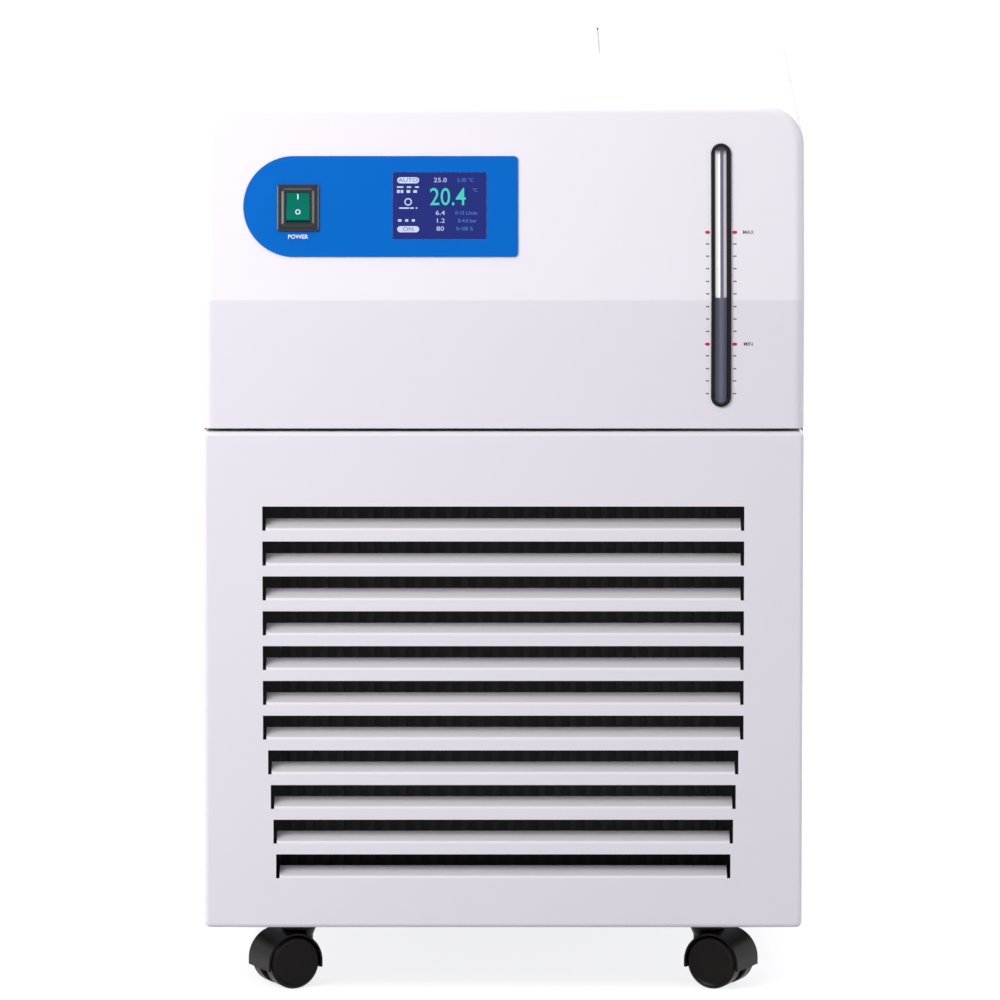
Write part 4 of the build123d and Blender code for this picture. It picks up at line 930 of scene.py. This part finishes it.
@dataclass(frozen=True)
class PortThreads:
    """A fine thread wound round each water port."""

    columns: tuple[tuple[str, float], ...] = (("supply", -0.170), ("return", -0.110))
    level: float = 0.395
    start: float = 0.0215
    pitch: float = 0.0018
    turns: int = 10
    steps: int = 28
    root: float = 0.0104
    crest: float = 0.0005
    sunk: float = 0.0006
    half_width: float = 0.0007

    def make(self, material: bpy.types.Material) -> None:
        """Wind the threads.

        Args:
            material: The ports' material.
        """
        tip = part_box("water_ports")[1].y
        angle = np.linspace(0, 2 * np.pi * self.turns, self.turns * self.steps)
        fade = np.clip(np.minimum(angle, angle[-1] - angle) / np.pi, 0, 1)
        y = tip - self.start + self.pitch * angle / (2 * np.pi)
        count = len(angle)
        faces = []
        for a in range(0, 3 * count - 3, 3):
            for near, far in ((0, 1), (1, 2), (2, 0)):
                faces.append([a + near, a + far, a + far + 3, a + near + 3])
        faces += [[0, 1, 2], [count * 3 - 1, count * 3 - 2, count * 3 - 3]]
        for name, x in self.columns:
            rows = []
            profile = (
                (-self.half_width, -self.sunk), (0.0, self.crest * fade), (self.half_width, -self.sunk),
            )
            for dy, rise in profile:
                radius = self.root + rise
                across, up = radius * np.cos(angle), radius * np.sin(angle)
                rows.append(np.column_stack([x + across, y + dy, self.level + up]))
            points = np.stack(rows, axis=1).reshape(-1, 3)
            made = mesh_object(f"port_thread_{name}", points, faces, smooth=True)
            fix_normals(made)
            paint(made, material)
            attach(made, "chassis")


def aim(item: bpy.types.Object, target: Vector) -> None:
    """Point an object's -Z at a target."""
    item.rotation_euler = (target - item.location).to_track_quat("-Z", "Y").to_euler()


@dataclass(frozen=True)
class Lamp:
    """A rectangular lamp: its place, what it points at, its size, power in watts and colour."""

    name: str
    place: tuple[float, float, float]
    target: tuple[float, float, float]
    size: tuple[float, float]
    power: float
    colour: Colour

    def make(self) -> None:
        """Hang the lamp."""
        light = bpy.data.lights.new(self.name, "AREA")
        light.shape = "RECTANGLE"
        light.size, light.size_y = self.size
        light.energy = self.power
        light.color = self.colour
        item = bpy.data.objects.new(self.name, light)
        bpy.context.scene.collection.objects.link(item)
        item.location = self.place
        aim(item, Vector(self.target))


def seen_rays(tree: bpy.types.NodeTree) -> bpy.types.NodeSocket:
    """Tell the rays that show a background from those that light the object.

    Args:
        tree: The node tree of a material or the world.

    Returns:
        A socket that is 1 for camera, glossy and transmission rays, and 0 for others.
    """
    path = tree.nodes.new("ShaderNodeLightPath")
    socket = path.outputs["Is Camera Ray"]
    for name in ("Is Glossy Ray", "Is Transmission Ray"):
        most = tree.nodes.new("ShaderNodeMath")
        most.operation = "MAXIMUM"
        tree.links.new(socket, most.inputs[0])
        tree.links.new(path.outputs[name], most.inputs[1])
        socket = most.outputs[0]
    return socket


@dataclass(frozen=True)
class Stage:
    """A white floor and a white world, and the fill light that the world gives."""

    reach: float = 9.0
    floor_colour: Colour = (0.4, 0.4, 0.44)
    floor_glow: float = 0.79
    fill_colour: Colour = (0.915, 0.91, 1.0)
    fill_strength: float = 0.52

    def make_floor(self) -> None:
        """Lay the floor: it glows to the rays that see a background, and keeps the shadow."""
        r = self.reach
        corners = np.array([[-r, -r, 0], [r, -r, 0], [r, r, 0], [-r, r, 0]])
        floor = mesh_object("floor", corners, [[0, 1, 2, 3]])
        shader = Shader("floor_white")
        glow = shader.node("ShaderNodeMath", operation="MULTIPLY")
        glow.inputs[1].default_value = self.floor_glow
        shader.link(seen_rays(shader.tree), glow.inputs[0])
        shader.link(glow.outputs[0], shader.surface.inputs["Emission Strength"])
        shader.set(
            Base_Color=(*self.floor_colour, 1), Emission_Color=(1, 1, 1, 1), Roughness=0.9
        )
        paint(floor, shader.material)

    def make_world(self) -> None:
        """Light the scene from all round, and show plain white to the rays that see it."""
        world = bpy.data.worlds.new("studio")
        bpy.context.scene.world = world
        world.use_nodes = True
        tree = world.node_tree
        tree.nodes.clear()
        output = tree.nodes.new("ShaderNodeOutputWorld")
        mix = tree.nodes.new("ShaderNodeMixShader")
        fill = tree.nodes.new("ShaderNodeBackground")
        fill.inputs["Color"].default_value = (*self.fill_colour, 1)
        fill.inputs["Strength"].default_value = self.fill_strength
        white = tree.nodes.new("ShaderNodeBackground")
        white.inputs["Color"].default_value = (1, 1, 1, 1)
        white.inputs["Strength"].default_value = 1.0
        tree.links.new(seen_rays(tree), mix.inputs["Fac"])
        tree.links.new(fill.outputs[0], mix.inputs[1])
        tree.links.new(white.outputs[0], mix.inputs[2])
        tree.links.new(mix.outputs[0], output.inputs["Surface"])


def make_lamps() -> None:
    """Hang a near key on the left, one lamp overhead, a strip at each side and one behind."""
    hood = (0, HOOD_FRONT, 0.6)
    back = (0, -HOOD_FRONT, 0.4)
    strip = (0.3, 1.5)
    for lamp in (
        Lamp("key", (-1.05, -1.5, 1.5), hood, (0.9, 0.9), 24, (1.0, 0.965, 0.955)),
        Lamp("top", (-0.35, 0.1, 2.3), hood, (1.4, 1.4), 15, (1.0, 0.98, 0.985)),
        Lamp("strip_left", (-2.2, -0.23, 0.82), hood, strip, 8, (1.0, 0.97, 0.98)),
        Lamp("strip_right", (2.2, -0.2, 0.82), hood, strip, 7, (0.95, 0.96, 1.0)),
        Lamp("back", (0.9, 2.4, 1.5), back, (1.4, 1.4), 22, (0.98, 0.98, 1.0)),
    ):
        lamp.make()


@dataclass(frozen=True)
class PhotoCamera:
    """The photograph's camera: a long lens, a little above, dead ahead."""

    lens: float = 381.3
    sensor: float = 36
    side: float = -0.0025
    distance: float = 8.0
    height: float = 1.7135
    tilt: float = 9.403

    def make(self) -> None:
        """Place the camera."""
        data = bpy.data.cameras.new("camera")
        data.sensor_width = self.sensor
        data.lens = self.lens
        data.clip_start, data.clip_end = 0.1, 100
        camera = bpy.data.objects.new("camera", data)
        camera.location = (self.side, HOOD_FRONT - self.distance, self.height)
        camera.rotation_euler = Euler((math.radians(90 - self.tilt), 0, 0))
        bpy.context.scene.collection.objects.link(camera)
        bpy.context.scene.camera = camera


def main() -> None:
    """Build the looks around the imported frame."""
    logging.basicConfig(level=logging.INFO)
    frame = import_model()
    kit = NodeKit()
    slots = {name: finish.make(kit) for name, finish in finishes().items()}
    palette = {name: finish.make(kit) for name, finish in trims().items()}
    for part in frame["record"]["subparts"]:
        paint(frame["nodes"][part["node"]], slots[part["material_slot"]])
    GaugeMarks().make(palette)
    SwitchMarks().make(palette)
    Screen().make(palette)
    ScrewRecesses().make(palette)
    PortThreads().make(slots["port_brass"])
    stage = Stage()
    stage.make_floor()
    stage.make_world()
    make_lamps()
    PhotoCamera().make()
    bpy.context.scene.view_settings.view_transform = "Standard"


if __name__ == "__main__":
    main()
